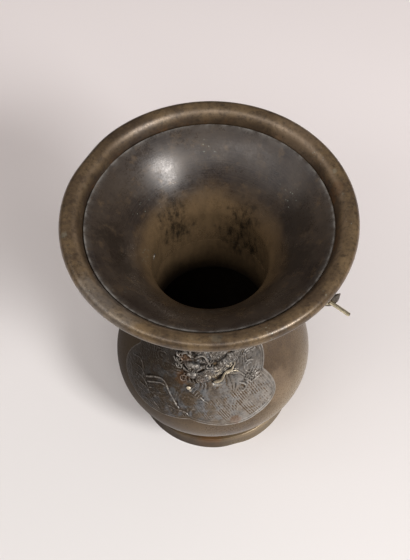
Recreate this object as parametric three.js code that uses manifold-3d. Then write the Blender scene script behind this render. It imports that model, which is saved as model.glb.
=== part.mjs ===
// A cast bronze flower vase: a trumpet mouth with a rounded rim, a pear-shaped belly with a lobed
// relief panel let into the front and back, a stepped foot with its own base plate, and two hooked
// handles, each with a bare dowel pin let into its face.
// Millimetres and degrees, +Z up. The origin is the centre of the standing ring, on its plane, the
// front panel faces -Y and the handles lie along X.
import * as THREE from 'three';
import { mergeVertices } from 'three/addons/utils/BufferGeometryUtils.js';
import Module from 'manifold-3d';

// Rim and funnel
const MOUTH_DIAMETER = 200;
const RIM_TOP = 233;
const RIM_HEIGHT = 10.2;
const RIM_WIDTH = 15.4;
const RIM_OVERHANG = 5;
const RIM_INNER_EDGE = 0.8;
const RIM_SHOULDER_REACH = 3.1;
const RIM_SHOULDER_DROP = 3.4;
const RIM_FLANGE_THICKNESS = 1.6;
const LEDGE_DIAMETER = 166.6;
const LEDGE_RISE = 1.3;
const LEDGE_THICKNESS = 0.8;
const THROAT_RISE = 24;
const THROAT_EASE = 12;
const FLARE_REACH = 24;
const FLARE_DROP = 14;
const TRUMPET_WALL = 3;

// Neck joint and belly
const NECK_DIAMETER = 88;
const NECK_LENGTH = 15;
const NECK_JOINT_HEIGHT = 150;
const SPIGOT_LENGTH = 8;
const SPIGOT_WALL = 1.3;
const BELLY_DIAMETER = 150.4;
const BELLY_WIDEST_HEIGHT = 54;
const BELLY_WALL = 3;
const BELLY_SEAT_WIDTH = 4.6;
const SHOULDER_EASE = 32;
const NECK_EASE = 30;

// Foot and base plate
const WAIST_DIAMETER = 102;
const WAIST_HEIGHT = 16;
const WAIST_SPREAD = 11;
const WAIST_RISE = 8;
const LOWER_BELLY_EASE = 18;
const FOOT_DIAMETER = 127.8;
const FOOT_BAND_HEIGHT = 8.6;
const FOOT_BAND_TAPER = 1.6;
const FOOT_EDGE_ROUND = 1.4;
const FOOT_WALL = 6;
const FOOT_WEB_THICKNESS = 3;
const BASE_SEAT_DEPTH = 3.5;
const BASE_SEAT_WIDTH = 6;
const BASE_THICKNESS = 3;

// Relief panels
const PANEL_HALF_ANGLE = 57.5;
const PANEL_BOTTOM = 63.5;
const PANEL_HEIGHT = 76.5;
const PANEL_SINK = 1.2;
const BORDER_WIDTH = 1.6;
const BORDER_RISE = 0.9;
const RELIEF_FLATNESS = 0.6;
const DRAGON_GIRTH = 10.5;
const DRAGON_TAIL_TAPER = 0.7;
const DRAGON_HEAD_WIDTH = 15;
const DRAGON_EYE_DIAMETER = 4.4;
const DRAGON_LIMB_GIRTH = 6;
const HORN_GIRTH = 3.2;
const CLAW_COUNT = 3;
const CLAW_SPACING = 0.05;
const CLAW_LENGTH = 0.07;
const CLOUD_GIRTH = 3.2;
const CLOUD_TURN = 330;
const CLOUD_CLOSING = 0.62;
const WAVE_GIRTH = 3;
const WAVE_COUNT = 3;
const WAVE_SPACING = 0.08;

// Handles, dowel pins and rivets
const HANDLE_ROOT_RISE = 16;
const HANDLE_ROOT_WIDTH = 17;
const HANDLE_ROOT_LENGTH = 27;
const HANDLE_ROOT_THICKNESS = 2.6;
const HANDLE_ARM_GIRTH = 8;
const HANDLE_FLATNESS = 0.72;
const HANDLE_ARM_REACH = 21;
const HANDLE_ARM_RISE = 6;
const BEND_REACH = 40;
const BEND_DROP = 15;
const BEND_EASE = 14;
const HOOK_REACH = 9.2;
const HOOK_RISE = 15.5;
const HOOK_EASE = 4.5;
const HOOK_LEAN = 4.2;
const HOOK_CURL = 8.5;
const HOOK_TIP_GIRTH = 5.2;
const PIN_DROP_ANGLE = 40;
const PIN_DIAMETER = 3;
const PIN_LENGTH = 19.6;
const PIN_REACH = 2.6;
const PIN_RISE = 6.6;
const PIN_CHAMFER = 0.3;
const RIVET_REACH = 0.9;
const RIVET_RISE = 2.4;
const RIVET_DIAMETER = 1.4;
const RIVET_HEAD_DIAMETER = 2.6;
const RIVET_HEAD_HEIGHT = 0.9;
const RIVET_SEAT_DEPTH = 0.7;
const RIVET_DOME_SHARE = 0.8;

// Solder film and fitting clearance between seated pieces
const SEAT_GAP = 0.3;

// Facets
const TURN_SEGMENTS = 40;
const BELLY_SEGMENTS = 32;
const LOWER_BELLY_STEPS = 5;
const UPPER_BELLY_STEPS = 6;
const FUNNEL_STEPS = 7;
const ROUND_STEPS = 4;
const LOBE_STEPS = 4;
const DRAGON_STEPS = 13;
const LIMB_STEPS = 4;
const SCROLL_STEPS = 4;
const HANDLE_STEPS = 12;
const HANDLE_SIDES = 8;
const TUBE_SIDES = 6;
const SMALL_SIDES = 4;
const ROUND_SIDES = 12;
const PRISM_REACH = 3;

const wasm = await Module();
wasm.setup();

const v2 = (x, y) => new THREE.Vector2(x, y);
const v3 = (x, y, z) => new THREE.Vector3(x, y, z);

function solidOf(geometry) {
  const plain = geometry.clone();
  plain.deleteAttribute('normal');
  plain.deleteAttribute('uv');
  const merged = mergeVertices(plain, 1e-4);
  const vertProperties = new Float32Array(merged.attributes.position.array);
  const triVerts = new Uint32Array(merged.index.array);
  return new wasm.Manifold(new wasm.Mesh({ numProp: 3, vertProperties, triVerts }));
}

function geometryOf(solid) {
  const mesh = solid.getMesh();
  const geometry = new THREE.BufferGeometry();
  geometry.setAttribute('position', new THREE.BufferAttribute(mesh.vertProperties, 3));
  geometry.setIndex(new THREE.BufferAttribute(mesh.triVerts, 1));
  geometry.computeVertexNormals();
  return geometry;
}

// Turns a profile of (radius, height) points about Z, with its outer side going up. A profile that
// doesn't start on the axis is closed on itself.
function revolve(profile, segments = TURN_SEGMENTS) {
  const closed = profile[0].x > 0 ? [...profile, profile[0]] : profile;
  const geometry = new THREE.LatheGeometry(closed, segments);
  geometry.rotateX(Math.PI / 2);
  return geometry;
}

// Shifts a rising profile by a distance to its right, which is outwards on the outer side.
function offsetProfile(points, distance) {
  return points.map((point, i) => {
    const before = points[Math.max(i - 1, 0)];
    const after = points[Math.min(i + 1, points.length - 1)];
    const along = after.clone().sub(before).normalize();
    return v2(point.x + along.y * distance, point.y - along.x * distance);
  });
}

function bezier(start, control1, control2, end, steps) {
  return new THREE.CubicBezierCurve(start, control1, control2, end).getPoints(steps);
}

// Radii and heights that several pieces share
const mouthRadius = MOUTH_DIAMETER / 2;
const rimBottom = RIM_TOP - RIM_HEIGHT;
const rimSeat = rimBottom - SEAT_GAP;
const beadCentreRadius = mouthRadius - RIM_OVERHANG;
const neckRadius = NECK_DIAMETER / 2;
const bellyRadius = BELLY_DIAMETER / 2;
const waistRadius = WAIST_DIAMETER / 2;
const throatRadius = neckRadius - BELLY_WALL;
const spigotRadius = throatRadius + SPIGOT_WALL;
const spigotBottom = NECK_JOINT_HEIGHT - SPIGOT_LENGTH;
const neckFoot = NECK_JOINT_HEIGHT - NECK_LENGTH;
const headHeight = (DRAGON_HEAD_WIDTH / 2) * RELIEF_FLATNESS;
const reliefReach = headHeight + DRAGON_EYE_DIAMETER;

// The belly's outer profile, from the waist up to the neck joint
const bellyBottom = WAIST_HEIGHT + SEAT_GAP;
const lowerBelly = bezier(
  v2(waistRadius, bellyBottom),
  v2(waistRadius + WAIST_SPREAD, bellyBottom + WAIST_RISE),
  v2(bellyRadius, BELLY_WIDEST_HEIGHT - LOWER_BELLY_EASE),
  v2(bellyRadius, BELLY_WIDEST_HEIGHT),
  LOWER_BELLY_STEPS,
);
const shoulder = bezier(
  v2(bellyRadius, BELLY_WIDEST_HEIGHT),
  v2(bellyRadius, BELLY_WIDEST_HEIGHT + SHOULDER_EASE),
  v2(neckRadius, neckFoot - NECK_EASE),
  v2(neckRadius, neckFoot),
  UPPER_BELLY_STEPS,
);
const upperBelly = [...shoulder, v2(neckRadius, NECK_JOINT_HEIGHT)];
const bellyOuter = [...lowerBelly, ...upperBelly.slice(1)];

function rimGeometry() {
  const beadCentre = (RIM_TOP + rimBottom) / 2;
  const bead = new THREE.EllipseCurve(
    beadCentreRadius,
    beadCentre,
    RIM_OVERHANG,
    RIM_HEIGHT / 2,
    -Math.PI / 2,
    Math.PI / 2,
  ).getPoints(2 * ROUND_STEPS);
  const innerFoot = mouthRadius - RIM_WIDTH;
  const slope = bezier(
    v2(beadCentreRadius, RIM_TOP),
    v2(beadCentreRadius - RIM_OVERHANG, RIM_TOP),
    v2(innerFoot + RIM_SHOULDER_REACH, RIM_TOP - RIM_SHOULDER_DROP),
    v2(innerFoot, rimBottom + RIM_INNER_EDGE),
    ROUND_STEPS,
  );
  return revolve([v2(innerFoot, rimBottom), ...bead, ...slope.slice(1)]);
}

// The funnel's inner surface rises from the throat to the thin ledge beside the rim.
function trumpetProfile() {
  const ledgeRadius = LEDGE_DIAMETER / 2;
  const ledgeTop = rimSeat + LEDGE_RISE;
  const throatHeight = NECK_JOINT_HEIGHT + THROAT_RISE;
  const funnel = bezier(
    v2(throatRadius, throatHeight),
    v2(throatRadius, throatHeight + THROAT_EASE),
    v2(ledgeRadius - FLARE_REACH, ledgeTop - FLARE_DROP),
    v2(ledgeRadius, ledgeTop),
    FUNNEL_STEPS,
  );
  const outer = offsetProfile(funnel, TRUMPET_WALL).slice(0, -1);
  return { funnel, outer, ledgeRadius, ledgeTop };
}

function trumpetGeometry() {
  const { funnel, outer, ledgeRadius, ledgeTop } = trumpetProfile();
  const joint = NECK_JOINT_HEIGHT + SEAT_GAP;
  const ledgeOuter = ledgeRadius + LEDGE_THICKNESS;
  return revolve([
    v2(throatRadius, spigotBottom),
    v2(spigotRadius, spigotBottom),
    v2(spigotRadius, joint),
    v2(neckRadius, joint),
    ...outer,
    v2(beadCentreRadius, rimSeat - RIM_FLANGE_THICKNESS),
    v2(beadCentreRadius, rimSeat),
    v2(ledgeOuter, rimSeat),
    v2(ledgeOuter, ledgeTop),
    ...funnel.reverse(),
  ]);
}

// The trumpet's outside as a solid that reaches the axis, grown by a clearance
function trumpetCore(clearance) {
  const { outer } = trumpetProfile();
  const side = [v2(neckRadius, NECK_JOINT_HEIGHT), ...outer];
  const grown = offsetProfile(side, clearance);
  const first = grown[0];
  const last = grown[grown.length - 1];
  return solidOf(revolve([v2(0, first.y), ...grown, v2(0, last.y)]));
}

// A layer that follows the belly's outside between two distances from it
function bellyLayer(inside, outside) {
  const inner = offsetProfile(upperBelly, inside);
  const outer = offsetProfile(upperBelly, outside);
  return solidOf(revolve([...outer, ...inner.reverse()], BELLY_SEGMENTS));
}

// The belly's neck is rebated inside, so that the trumpet's spigot sits flush with the wall.
function bellyShell() {
  const inner = offsetProfile(bellyOuter, -BELLY_WALL).slice(1, -1);
  const rebateFloor = spigotBottom - SEAT_GAP;
  const rebateRadius = spigotRadius + SEAT_GAP;
  const rebate = [
    v2(rebateRadius, NECK_JOINT_HEIGHT),
    v2(rebateRadius, rebateFloor),
    v2(throatRadius, rebateFloor),
  ];
  const seatInner = v2(waistRadius - BELLY_SEAT_WIDTH, bellyBottom);
  return solidOf(revolve([...bellyOuter, ...rebate, ...inner.reverse(), seatInner], BELLY_SEGMENTS));
}

function footGeometry() {
  const footRadius = FOOT_DIAMETER / 2;
  const bandTop = footRadius - FOOT_BAND_TAPER;
  const edgeTop = FOOT_BAND_HEIGHT + FOOT_EDGE_ROUND;
  const edge = bezier(
    v2(bandTop, FOOT_BAND_HEIGHT),
    v2(bandTop, edgeTop),
    v2(bandTop - FOOT_EDGE_ROUND, edgeTop),
    v2(bandTop - 2 * FOOT_EDGE_ROUND, edgeTop),
    ROUND_STEPS / 2,
  );
  const cove = bezier(
    v2(bandTop - 2 * FOOT_EDGE_ROUND, edgeTop),
    v2((bandTop + waistRadius) / 2, edgeTop),
    v2(waistRadius, (edgeTop + WAIST_HEIGHT) / 2),
    v2(waistRadius, WAIST_HEIGHT),
    ROUND_STEPS,
  );
  const seatInner = waistRadius - BELLY_SEAT_WIDTH;
  const baseSeat = WAIST_HEIGHT - BASE_SEAT_DEPTH;
  const webBottom = baseSeat - FOOT_WEB_THICKNESS;
  return revolve([
    v2(footRadius, 0),
    ...edge,
    ...cove.slice(1),
    v2(seatInner, WAIST_HEIGHT),
    v2(seatInner, baseSeat),
    v2(seatInner - BASE_SEAT_WIDTH, baseSeat),
    v2(seatInner - BASE_SEAT_WIDTH, webBottom),
    v2(waistRadius, webBottom),
    v2(footRadius - FOOT_WALL, 0),
  ]);
}

function basePlateGeometry() {
  const radius = waistRadius - BELLY_SEAT_WIDTH - SEAT_GAP;
  const bottom = WAIST_HEIGHT - BASE_SEAT_DEPTH + SEAT_GAP;
  const top = bottom + BASE_THICKNESS;
  return revolve([v2(0, bottom), v2(radius, bottom), v2(radius, top), v2(0, top)]);
}

// Radius of the belly's outside at a height, read off the upper profile
function radiusAt(height) {
  const last = upperBelly.length - 1;
  let i = upperBelly.findIndex((point) => point.y >= height);
  if (i < 1) i = i === 0 ? 1 : last;
  const low = upperBelly[i - 1];
  const high = upperBelly[i];
  const share = (height - low.y) / (high.y - low.y);
  return low.x + (high.x - low.x) * share;
}

// Panel coordinates: across runs from -1 to 1 over the panel's width, up from 0 to 1 over its height.
function panelPlace(across, up) {
  return { angle: across * PANEL_HALF_ANGLE, height: PANEL_BOTTOM + up * PANEL_HEIGHT };
}

function onBelly(across, up, lift = 0) {
  const { angle, height } = panelPlace(across, up);
  const turn = THREE.MathUtils.degToRad(angle);
  const radius = radiusAt(height) + lift;
  return v3(radius * Math.sin(turn), -radius * Math.cos(turn), height);
}

// A curve that lies on the belly, drawn through points in panel coordinates
class BellyCurve extends THREE.Curve {
  constructor(points) {
    super();
    this.flat = new THREE.SplineCurve(points.map(([across, up]) => v2(across, up)));
  }

  getPoint(t) {
    const place = this.flat.getPoint(t);
    return onBelly(place.x, place.y);
  }
}

// The scroll of a cloud: a hook on the belly that curls in around a centre in panel coordinates
class CloudCurve extends THREE.Curve {
  constructor(across, up, size, startDegrees, direction) {
    super();
    Object.assign(this, { across, up, size, startDegrees, direction });
  }

  getPoint(t) {
    const turn = THREE.MathUtils.degToRad(this.startDegrees + this.direction * CLOUD_TURN * t);
    const radius = this.size * (1 - CLOUD_CLOSING * t);
    return onBelly(this.across + radius * Math.cos(turn), this.up + radius * Math.sin(turn));
  }
}

// A tube along a curve, closed at both ends. Its half-width changes along the curve, and its
// thickness towards the given side is a share of the width.
function loft(curve, halfWidthAt, side, steps, sides, thickness = 1) {
  const positions = [];
  const index = [];
  for (let i = 0; i <= steps; i++) {
    const t = i / steps;
    const centre = curve.getPoint(t);
    const tangent = curve.getTangent(t);
    const outwards = typeof side === 'function' ? side(centre) : side;
    const across = tangent.clone().cross(outwards).normalize();
    const lift = across.clone().cross(tangent);
    const half = halfWidthAt(t);
    for (let k = 0; k < sides; k++) {
      const turn = (2 * Math.PI * k) / sides;
      const place = centre.clone().addScaledVector(across, half * Math.cos(turn));
      place.addScaledVector(lift, half * thickness * Math.sin(turn));
      positions.push(place.x, place.y, place.z);
    }
  }
  const ring = (i, k) => i * sides + (k % sides);
  for (let i = 0; i < steps; i++) {
    for (let k = 0; k < sides; k++) {
      index.push(ring(i, k), ring(i + 1, k), ring(i + 1, k + 1));
      index.push(ring(i, k), ring(i + 1, k + 1), ring(i, k + 1));
    }
  }
  for (let k = 2; k < sides; k++) {
    index.push(ring(0, 0), ring(0, k - 1), ring(0, k));
    index.push(ring(steps, 0), ring(steps, k), ring(steps, k - 1));
  }
  const geometry = new THREE.BufferGeometry();
  geometry.setAttribute('position', new THREE.Float32BufferAttribute(positions, 3));
  geometry.setIndex(index);
  return geometry;
}

// Radial direction away from the vase's axis
const radial = (point) => v3(point.x, point.y, 0).normalize();

const taper = (start, end) => (t) => start + (end - start) * t;
const swell = (ends, middle) => (t) => ends + (middle - ends) * Math.sin(Math.PI * t);

// One half of the lobed outline, as the control point and end of each lobe, from the bottom cusp
const OUTLINE_START = [0, 0.07];
const OUTLINE_LOBES = [
  { control: [0.455, -0.055], end: [0.69, 0.04] },
  { control: [1.145, 0.15], end: [0.94, 0.46] },
  { control: [1.29, 0.745], end: [0.72, 0.93] },
  { control: [0.4, 1.05], end: [0, 0.97] },
];

// The panel's outline as points of arc length and height, drawn in by a margin
function panelOutline(margin) {
  const half = new THREE.Path();
  half.moveTo(...OUTLINE_START);
  for (const { control, end } of OUTLINE_LOBES) half.quadraticCurveTo(...control, ...end);
  const right = half.getPoints(LOBE_STEPS).map(({ x, y }) => {
    const { angle, height } = panelPlace(x, y);
    return v2(THREE.MathUtils.degToRad(angle) * radiusAt(height), height);
  });
  const left = right.slice(1, -1).reverse().map(({ x, y }) => v2(-x, y));
  const loop = [...right, ...left];
  return loop.map((point, i) => {
    const before = loop[(i + loop.length - 1) % loop.length];
    const after = loop[(i + 1) % loop.length];
    const along = after.clone().sub(before).normalize();
    return v2(point.x - along.y * margin, point.y + along.x * margin);
  });
}

// A prism with the panel's outline whose sides run radially through the belly wall. Its ends lie far
// from the wall on both sides, and the stretch near the wall has rings of its own to stay true.
function panelPrism(margin) {
  const shape = new THREE.Shape(panelOutline(margin));
  const geometry = new THREE.ExtrudeGeometry(shape, { depth: 3, steps: 3, bevelEnabled: false });
  const position = geometry.attributes.position;
  for (let i = 0; i < position.count; i++) {
    const height = position.getY(i);
    const wall = radiusAt(height);
    const turn = position.getX(i) / wall;
    const rings = [wall / PRISM_REACH, wall - BELLY_WALL, wall + reliefReach, bellyRadius * PRISM_REACH];
    const radius = rings[Math.round(position.getZ(i))];
    position.setXYZ(i, radius * Math.sin(turn), -radius * Math.cos(turn), height);
  }
  return solidOf(geometry);
}

// The dragon's coils, limbs and head with the clouds and waves around it, in panel coordinates
function dragonRelief() {
  const girth = DRAGON_GIRTH / 2;
  const limb = DRAGON_LIMB_GIRTH / 2;
  const horn = HORN_GIRTH / 2;
  const solids = [];
  const tube = (curve, halfWidth, steps, sides = SMALL_SIDES) => {
    solids.push(solidOf(loft(curve, halfWidth, radial, steps, sides, RELIEF_FLATNESS)));
  };
  const drawn = (...points) => new BellyCurve(points);
  const body = drawn(
    [0.2, 0.54],
    [0.36, 0.61],
    [0.52, 0.68],
    [0.58, 0.77],
    [0.42, 0.83],
    [0.2, 0.78],
    [-0.04, 0.84],
    [-0.26, 0.9],
    [-0.5, 0.85],
    [-0.62, 0.72],
  );
  tube(body, (t) => girth * (1 - DRAGON_TAIL_TAPER * t * t), DRAGON_STEPS, TUBE_SIDES);
  const head = drawn([0.04, 0.76], [-0.03, 0.68], [-0.08, 0.6], [-0.12, 0.5]);
  tube(head, taper(DRAGON_HEAD_WIDTH / 2, DRAGON_HEAD_WIDTH / 4), LIMB_STEPS, TUBE_SIDES);
  const foreleg = drawn([0.28, 0.56], [0.14, 0.46], [-0.02, 0.43]);
  tube(foreleg, taper(limb, limb / 2), LIMB_STEPS, TUBE_SIDES);
  for (let claw = 0; claw < CLAW_COUNT; claw++) {
    const across = -0.06 + CLAW_SPACING * claw;
    const talon = drawn([across, 0.43], [across + CLAW_SPACING, 0.43 - CLAW_LENGTH]);
    tube(talon, taper(limb / 2, limb / 4), 1);
  }
  for (const lean of [-1, 1]) {
    const antler = drawn([0.04 + 0.04 * lean, 0.74], [0.05 + 0.1 * lean, 0.84], [0.08 + 0.11 * lean, 0.93]);
    tube(antler, taper(horn, horn / 2), LIMB_STEPS);
    const eye = new THREE.SphereGeometry(DRAGON_EYE_DIAMETER / 2, TUBE_SIDES, SMALL_SIDES);
    const place = onBelly(-0.02 + 0.05 * lean, 0.67 - 0.03 * lean, headHeight / 2);
    solids.push(solidOf(eye.translate(place.x, place.y, place.z)));
  }
  const clouds = [
    new CloudCurve(0.75, 0.59, 0.075, 60, 1),
    new CloudCurve(0.66, 0.45, 0.07, 150, -1),
    new CloudCurve(-0.76, 0.62, 0.07, 120, -1),
  ];
  for (const cloud of clouds) {
    tube(cloud, taper(CLOUD_GIRTH / 2, CLOUD_GIRTH / 4), SCROLL_STEPS);
  }
  for (let crest = 0; crest < WAVE_COUNT; crest++) {
    const drop = WAVE_SPACING * crest;
    const back = drop / 2;
    const wave = drawn([-0.62, 0.31 - drop], [-0.44, 0.38 - drop], [-0.28, 0.33 - drop], [-0.2, 0.2 - back]);
    tube(wave, swell(WAVE_GIRTH / 4, WAVE_GIRTH / 2), SCROLL_STEPS);
  }
  return solids.reduce((whole, solid) => whole.add(solid));
}

// The let-in plate with its raised border and its relief, cast in one
function panelSolid() {
  const underside = SEAT_GAP - PANEL_SINK;
  const outline = panelPrism(SEAT_GAP);
  const plate = bellyLayer(underside, 0).intersect(outline);
  const frame = outline.subtract(panelPrism(SEAT_GAP + BORDER_WIDTH));
  const border = bellyLayer(underside / 2, BORDER_RISE).intersect(frame);
  const relief = dragonRelief().intersect(bellyLayer(underside / 2, reliefReach)).intersect(outline);
  return plate.add(border).add(relief);
}

// The handle lies in its own upright plane: an arm from the neck to a low bend, then a hook upwards.
const rootHeight = NECK_JOINT_HEIGHT + HANDLE_ROOT_RISE;
const bend = v3(neckRadius + BEND_REACH, 0, rootHeight - BEND_DROP);
const hookTip = v3(bend.x + HOOK_REACH, 0, bend.z + HOOK_RISE);
const handleFace = (HANDLE_ARM_GIRTH / 2) * HANDLE_FLATNESS;

// Places a piece that was made along +Z with its base at a point, along a direction
function standAlong(geometry, base, direction) {
  const turn = new THREE.Quaternion().setFromUnitVectors(v3(0, 0, 1), direction);
  geometry.applyQuaternion(turn);
  geometry.translate(base.x, base.y, base.z);
  return geometry;
}

// A round rod along +Z with a chamfer at its far end
function rod(radius, length, chamfer) {
  const side = [v2(radius, 0), v2(radius, length - chamfer)];
  if (chamfer > 0) side.push(v2(radius - chamfer, length));
  return revolve([v2(0, 0), ...side, v2(0, length)], ROUND_SIDES);
}

// The dowel pin lies half in the handle's front face, and the rivet goes through below its inner end.
const pinRadius = PIN_DIAMETER / 2;
const pinDrop = THREE.MathUtils.degToRad(PIN_DROP_ANGLE);
const pinDirection = v3(Math.cos(pinDrop), 0, -Math.sin(pinDrop));
const pinEnd = v3(bend.x + PIN_REACH, -handleFace, bend.z + PIN_RISE);
const forwards = v3(0, -1, 0);
const rivetCentre = v3(bend.x + RIVET_REACH, 0, bend.z + RIVET_RISE);
const rivetSeat = handleFace - RIVET_SEAT_DEPTH;

function handleSolid() {
  const rootRadius = neckRadius - TRUMPET_WALL;
  const line = new THREE.CurvePath();
  line.add(
    new THREE.CubicBezierCurve3(
      v3(rootRadius, 0, rootHeight),
      v3(rootRadius + HANDLE_ARM_REACH, 0, rootHeight + HANDLE_ARM_RISE),
      v3(bend.x - BEND_EASE, 0, bend.z),
      bend,
    ),
  );
  line.add(
    new THREE.CubicBezierCurve3(
      bend,
      v3(bend.x + HOOK_EASE, 0, bend.z),
      v3(hookTip.x - HOOK_LEAN, 0, hookTip.z - HOOK_CURL),
      hookTip,
    ),
  );
  const girth = taper(HANDLE_ARM_GIRTH / 2, HOOK_TIP_GIRTH / 2);
  const halfWidth = (t) => girth(t * t * t);
  const arm = solidOf(loft(line, halfWidth, forwards, HANDLE_STEPS, HANDLE_SIDES, HANDLE_FLATNESS));
  const rootDepth = HANDLE_ROOT_THICKNESS + TRUMPET_WALL;
  const root = new THREE.CylinderGeometry(1, 1, rootDepth, ROUND_SIDES);
  root.rotateZ(Math.PI / 2);
  root.scale(1, HANDLE_ROOT_WIDTH / 2, HANDLE_ROOT_LENGTH / 2);
  root.translate(neckRadius + HANDLE_ROOT_THICKNESS - rootDepth / 2, 0, rootHeight);
  const groove = rod(pinRadius + SEAT_GAP, PIN_LENGTH, 0);
  const grooveEnd = pinEnd.clone().addScaledVector(pinDirection, -SEAT_GAP);
  let handle = arm
    .add(solidOf(root))
    .subtract(trumpetCore(SEAT_GAP))
    .subtract(solidOf(standAlong(groove, grooveEnd, pinDirection)));
  const hole = rod(RIVET_DIAMETER / 2 + SEAT_GAP, 2 * HANDLE_ARM_GIRTH, 0);
  const holeEnd = rivetCentre.clone().addScaledVector(forwards, -HANDLE_ARM_GIRTH);
  handle = handle.subtract(solidOf(standAlong(hole, holeEnd, forwards)));
  for (const outwards of [forwards, forwards.clone().negate()]) {
    const spot = rod(RIVET_HEAD_DIAMETER / 2 + SEAT_GAP, HANDLE_ARM_GIRTH, 0);
    const seat = rivetCentre.clone().addScaledVector(outwards, rivetSeat);
    handle = handle.subtract(solidOf(standAlong(spot, seat, outwards)));
  }
  return handle;
}

function pinGeometry() {
  return standAlong(rod(pinRadius, PIN_LENGTH, PIN_CHAMFER), pinEnd, pinDirection);
}

// A rivet with a domed head on both faces of the handle
function rivetGeometry() {
  const shank = RIVET_DIAMETER / 2;
  const head = RIVET_HEAD_DIAMETER / 2;
  const face = rivetSeat + SEAT_GAP;
  const crown = face + RIVET_HEAD_HEIGHT;
  const domed = face + RIVET_HEAD_HEIGHT / 2;
  const upper = [v2(shank, face), v2(head, face), v2(head * RIVET_DOME_SHARE, domed), v2(0, crown)];
  const lower = upper.map(({ x, y }) => v2(x, -y)).reverse();
  return standAlong(revolve([...lower, ...upper], ROUND_SIDES), rivetCentre, forwards);
}

function bronze(color, roughness, metalness) {
  return new THREE.MeshStandardMaterial({ color, roughness, metalness });
}

function piece(name, geometry, material, turned = false) {
  const mesh = new THREE.Mesh(geometry, material);
  mesh.name = name;
  if (turned) mesh.rotation.z = Math.PI;
  return mesh;
}

// The belly has a pocket for each panel.
function bellyGeometry() {
  const pocket = bellyLayer(-PANEL_SINK, BELLY_WALL).intersect(panelPrism(0));
  const rearPocket = pocket.rotate([0, 0, 180]);
  return geometryOf(bellyShell().subtract(pocket).subtract(rearPocket));
}

const panelGeometry = geometryOf(panelSolid());
const handleGeometry = geometryOf(handleSolid());

const vase = new THREE.Group();
vase.add(
  piece('mouth_rim', rimGeometry(), bronze(0x5c4f3c, 0.42, 0.8)),
  piece('trumpet_mouth', trumpetGeometry(), bronze(0x5b5350, 0.38, 0.8)),
  piece('belly', bellyGeometry(), bronze(0x5a4f44, 0.4, 0.8)),
  piece('foot_ring', footGeometry(), bronze(0x5b4d3d, 0.45, 0.8)),
  piece('base_plate', basePlateGeometry(), bronze(0x4a4036, 0.6, 0.7)),
  piece('front_relief_panel', panelGeometry, bronze(0x6a645c, 0.36, 0.85)),
  piece('rear_relief_panel', panelGeometry, bronze(0x6a645c, 0.36, 0.85), true),
);
for (const [side, turned] of [['right', false], ['left', true]]) {
  vase.add(
    piece(`${side}_handle`, handleGeometry, bronze(0x625a52, 0.45, 0.8), turned),
    piece(`${side}_handle_pin`, pinGeometry(), bronze(0xa8976a, 0.3, 0.95), turned),
    piece(`${side}_handle_rivet`, rivetGeometry(), bronze(0xa8976a, 0.3, 0.95), turned),
  );
}

export default vase;
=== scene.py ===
"""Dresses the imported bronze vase: turned rim, trumpet mouth, belly and foot, chased dragon panels,
hooked handles with brass pins, and the studio stage with the photograph's camera."""

import math

import bmesh
import bpy
import numpy as np
from bpy.props import FloatProperty, FloatVectorProperty, IntProperty, PointerProperty
from mathutils import Matrix, Vector, noise


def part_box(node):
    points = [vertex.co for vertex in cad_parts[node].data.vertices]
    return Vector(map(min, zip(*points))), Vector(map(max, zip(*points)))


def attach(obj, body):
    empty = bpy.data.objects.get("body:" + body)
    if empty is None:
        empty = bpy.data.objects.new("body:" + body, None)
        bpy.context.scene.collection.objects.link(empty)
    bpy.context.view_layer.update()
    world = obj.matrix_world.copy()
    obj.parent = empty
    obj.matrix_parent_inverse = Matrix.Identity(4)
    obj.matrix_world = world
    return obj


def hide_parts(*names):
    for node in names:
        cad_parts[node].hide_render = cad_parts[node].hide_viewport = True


bl_info = {
    "name": "Bronze Vase",
    "version": (1, 0, 0),
    "blender": (4, 5, 0),
    "location": "3D View > Sidebar > Vase",
    "description": "Builds a patinated bronze vase with dragon panels around its packed solids",
    "category": "Add Mesh",
}

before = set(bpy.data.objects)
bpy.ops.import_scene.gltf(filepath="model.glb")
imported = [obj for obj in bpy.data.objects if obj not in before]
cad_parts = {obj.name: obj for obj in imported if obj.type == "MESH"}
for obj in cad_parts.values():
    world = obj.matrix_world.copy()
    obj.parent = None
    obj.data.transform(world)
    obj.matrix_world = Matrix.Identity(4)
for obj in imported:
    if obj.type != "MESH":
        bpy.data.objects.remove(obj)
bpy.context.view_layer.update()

MM = 0.001
IMAGE_WIDTH = 410
CLIP_START = 10 * MM

RIM_LOW, RIM_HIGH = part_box("mouth_rim")
TRUMPET_LOW, TRUMPET_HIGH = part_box("trumpet_mouth")
BELLY_LOW, BELLY_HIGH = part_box("belly")
_, FOOT_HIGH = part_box("foot_ring")
BASE_LOW, BASE_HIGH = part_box("base_plate")


def linear(hex_colour):
    """An sRGB hex colour as linear red, green and blue."""
    channels = [int(hex_colour[i:i + 2], 16) / 255 for i in (1, 3, 5)]
    return [c / 12.92 if c <= 0.04045 else ((c + 0.055) / 1.055) ** 2.4 for c in channels]


def length(label, text, metres):
    return FloatProperty(name=label, description=text, default=metres, min=0, unit="LENGTH")


def angle(label, text, degrees):
    return FloatProperty(name=label, description=text, default=math.radians(degrees), subtype="ANGLE")


def share(label, text, value):
    return FloatProperty(name=label, description=text, default=value, subtype="FACTOR")


def power(label, text, watts):
    return FloatProperty(name=label, description=text, default=watts, min=0, unit="POWER")


def count(label, text, number, least):
    return IntProperty(name=label, description=text, default=number, min=least)


def colour(label, text, hex_colour):
    return FloatVectorProperty(
        name=label, description=text, default=linear(hex_colour), size=3, min=0, max=1, subtype="COLOR")


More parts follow.
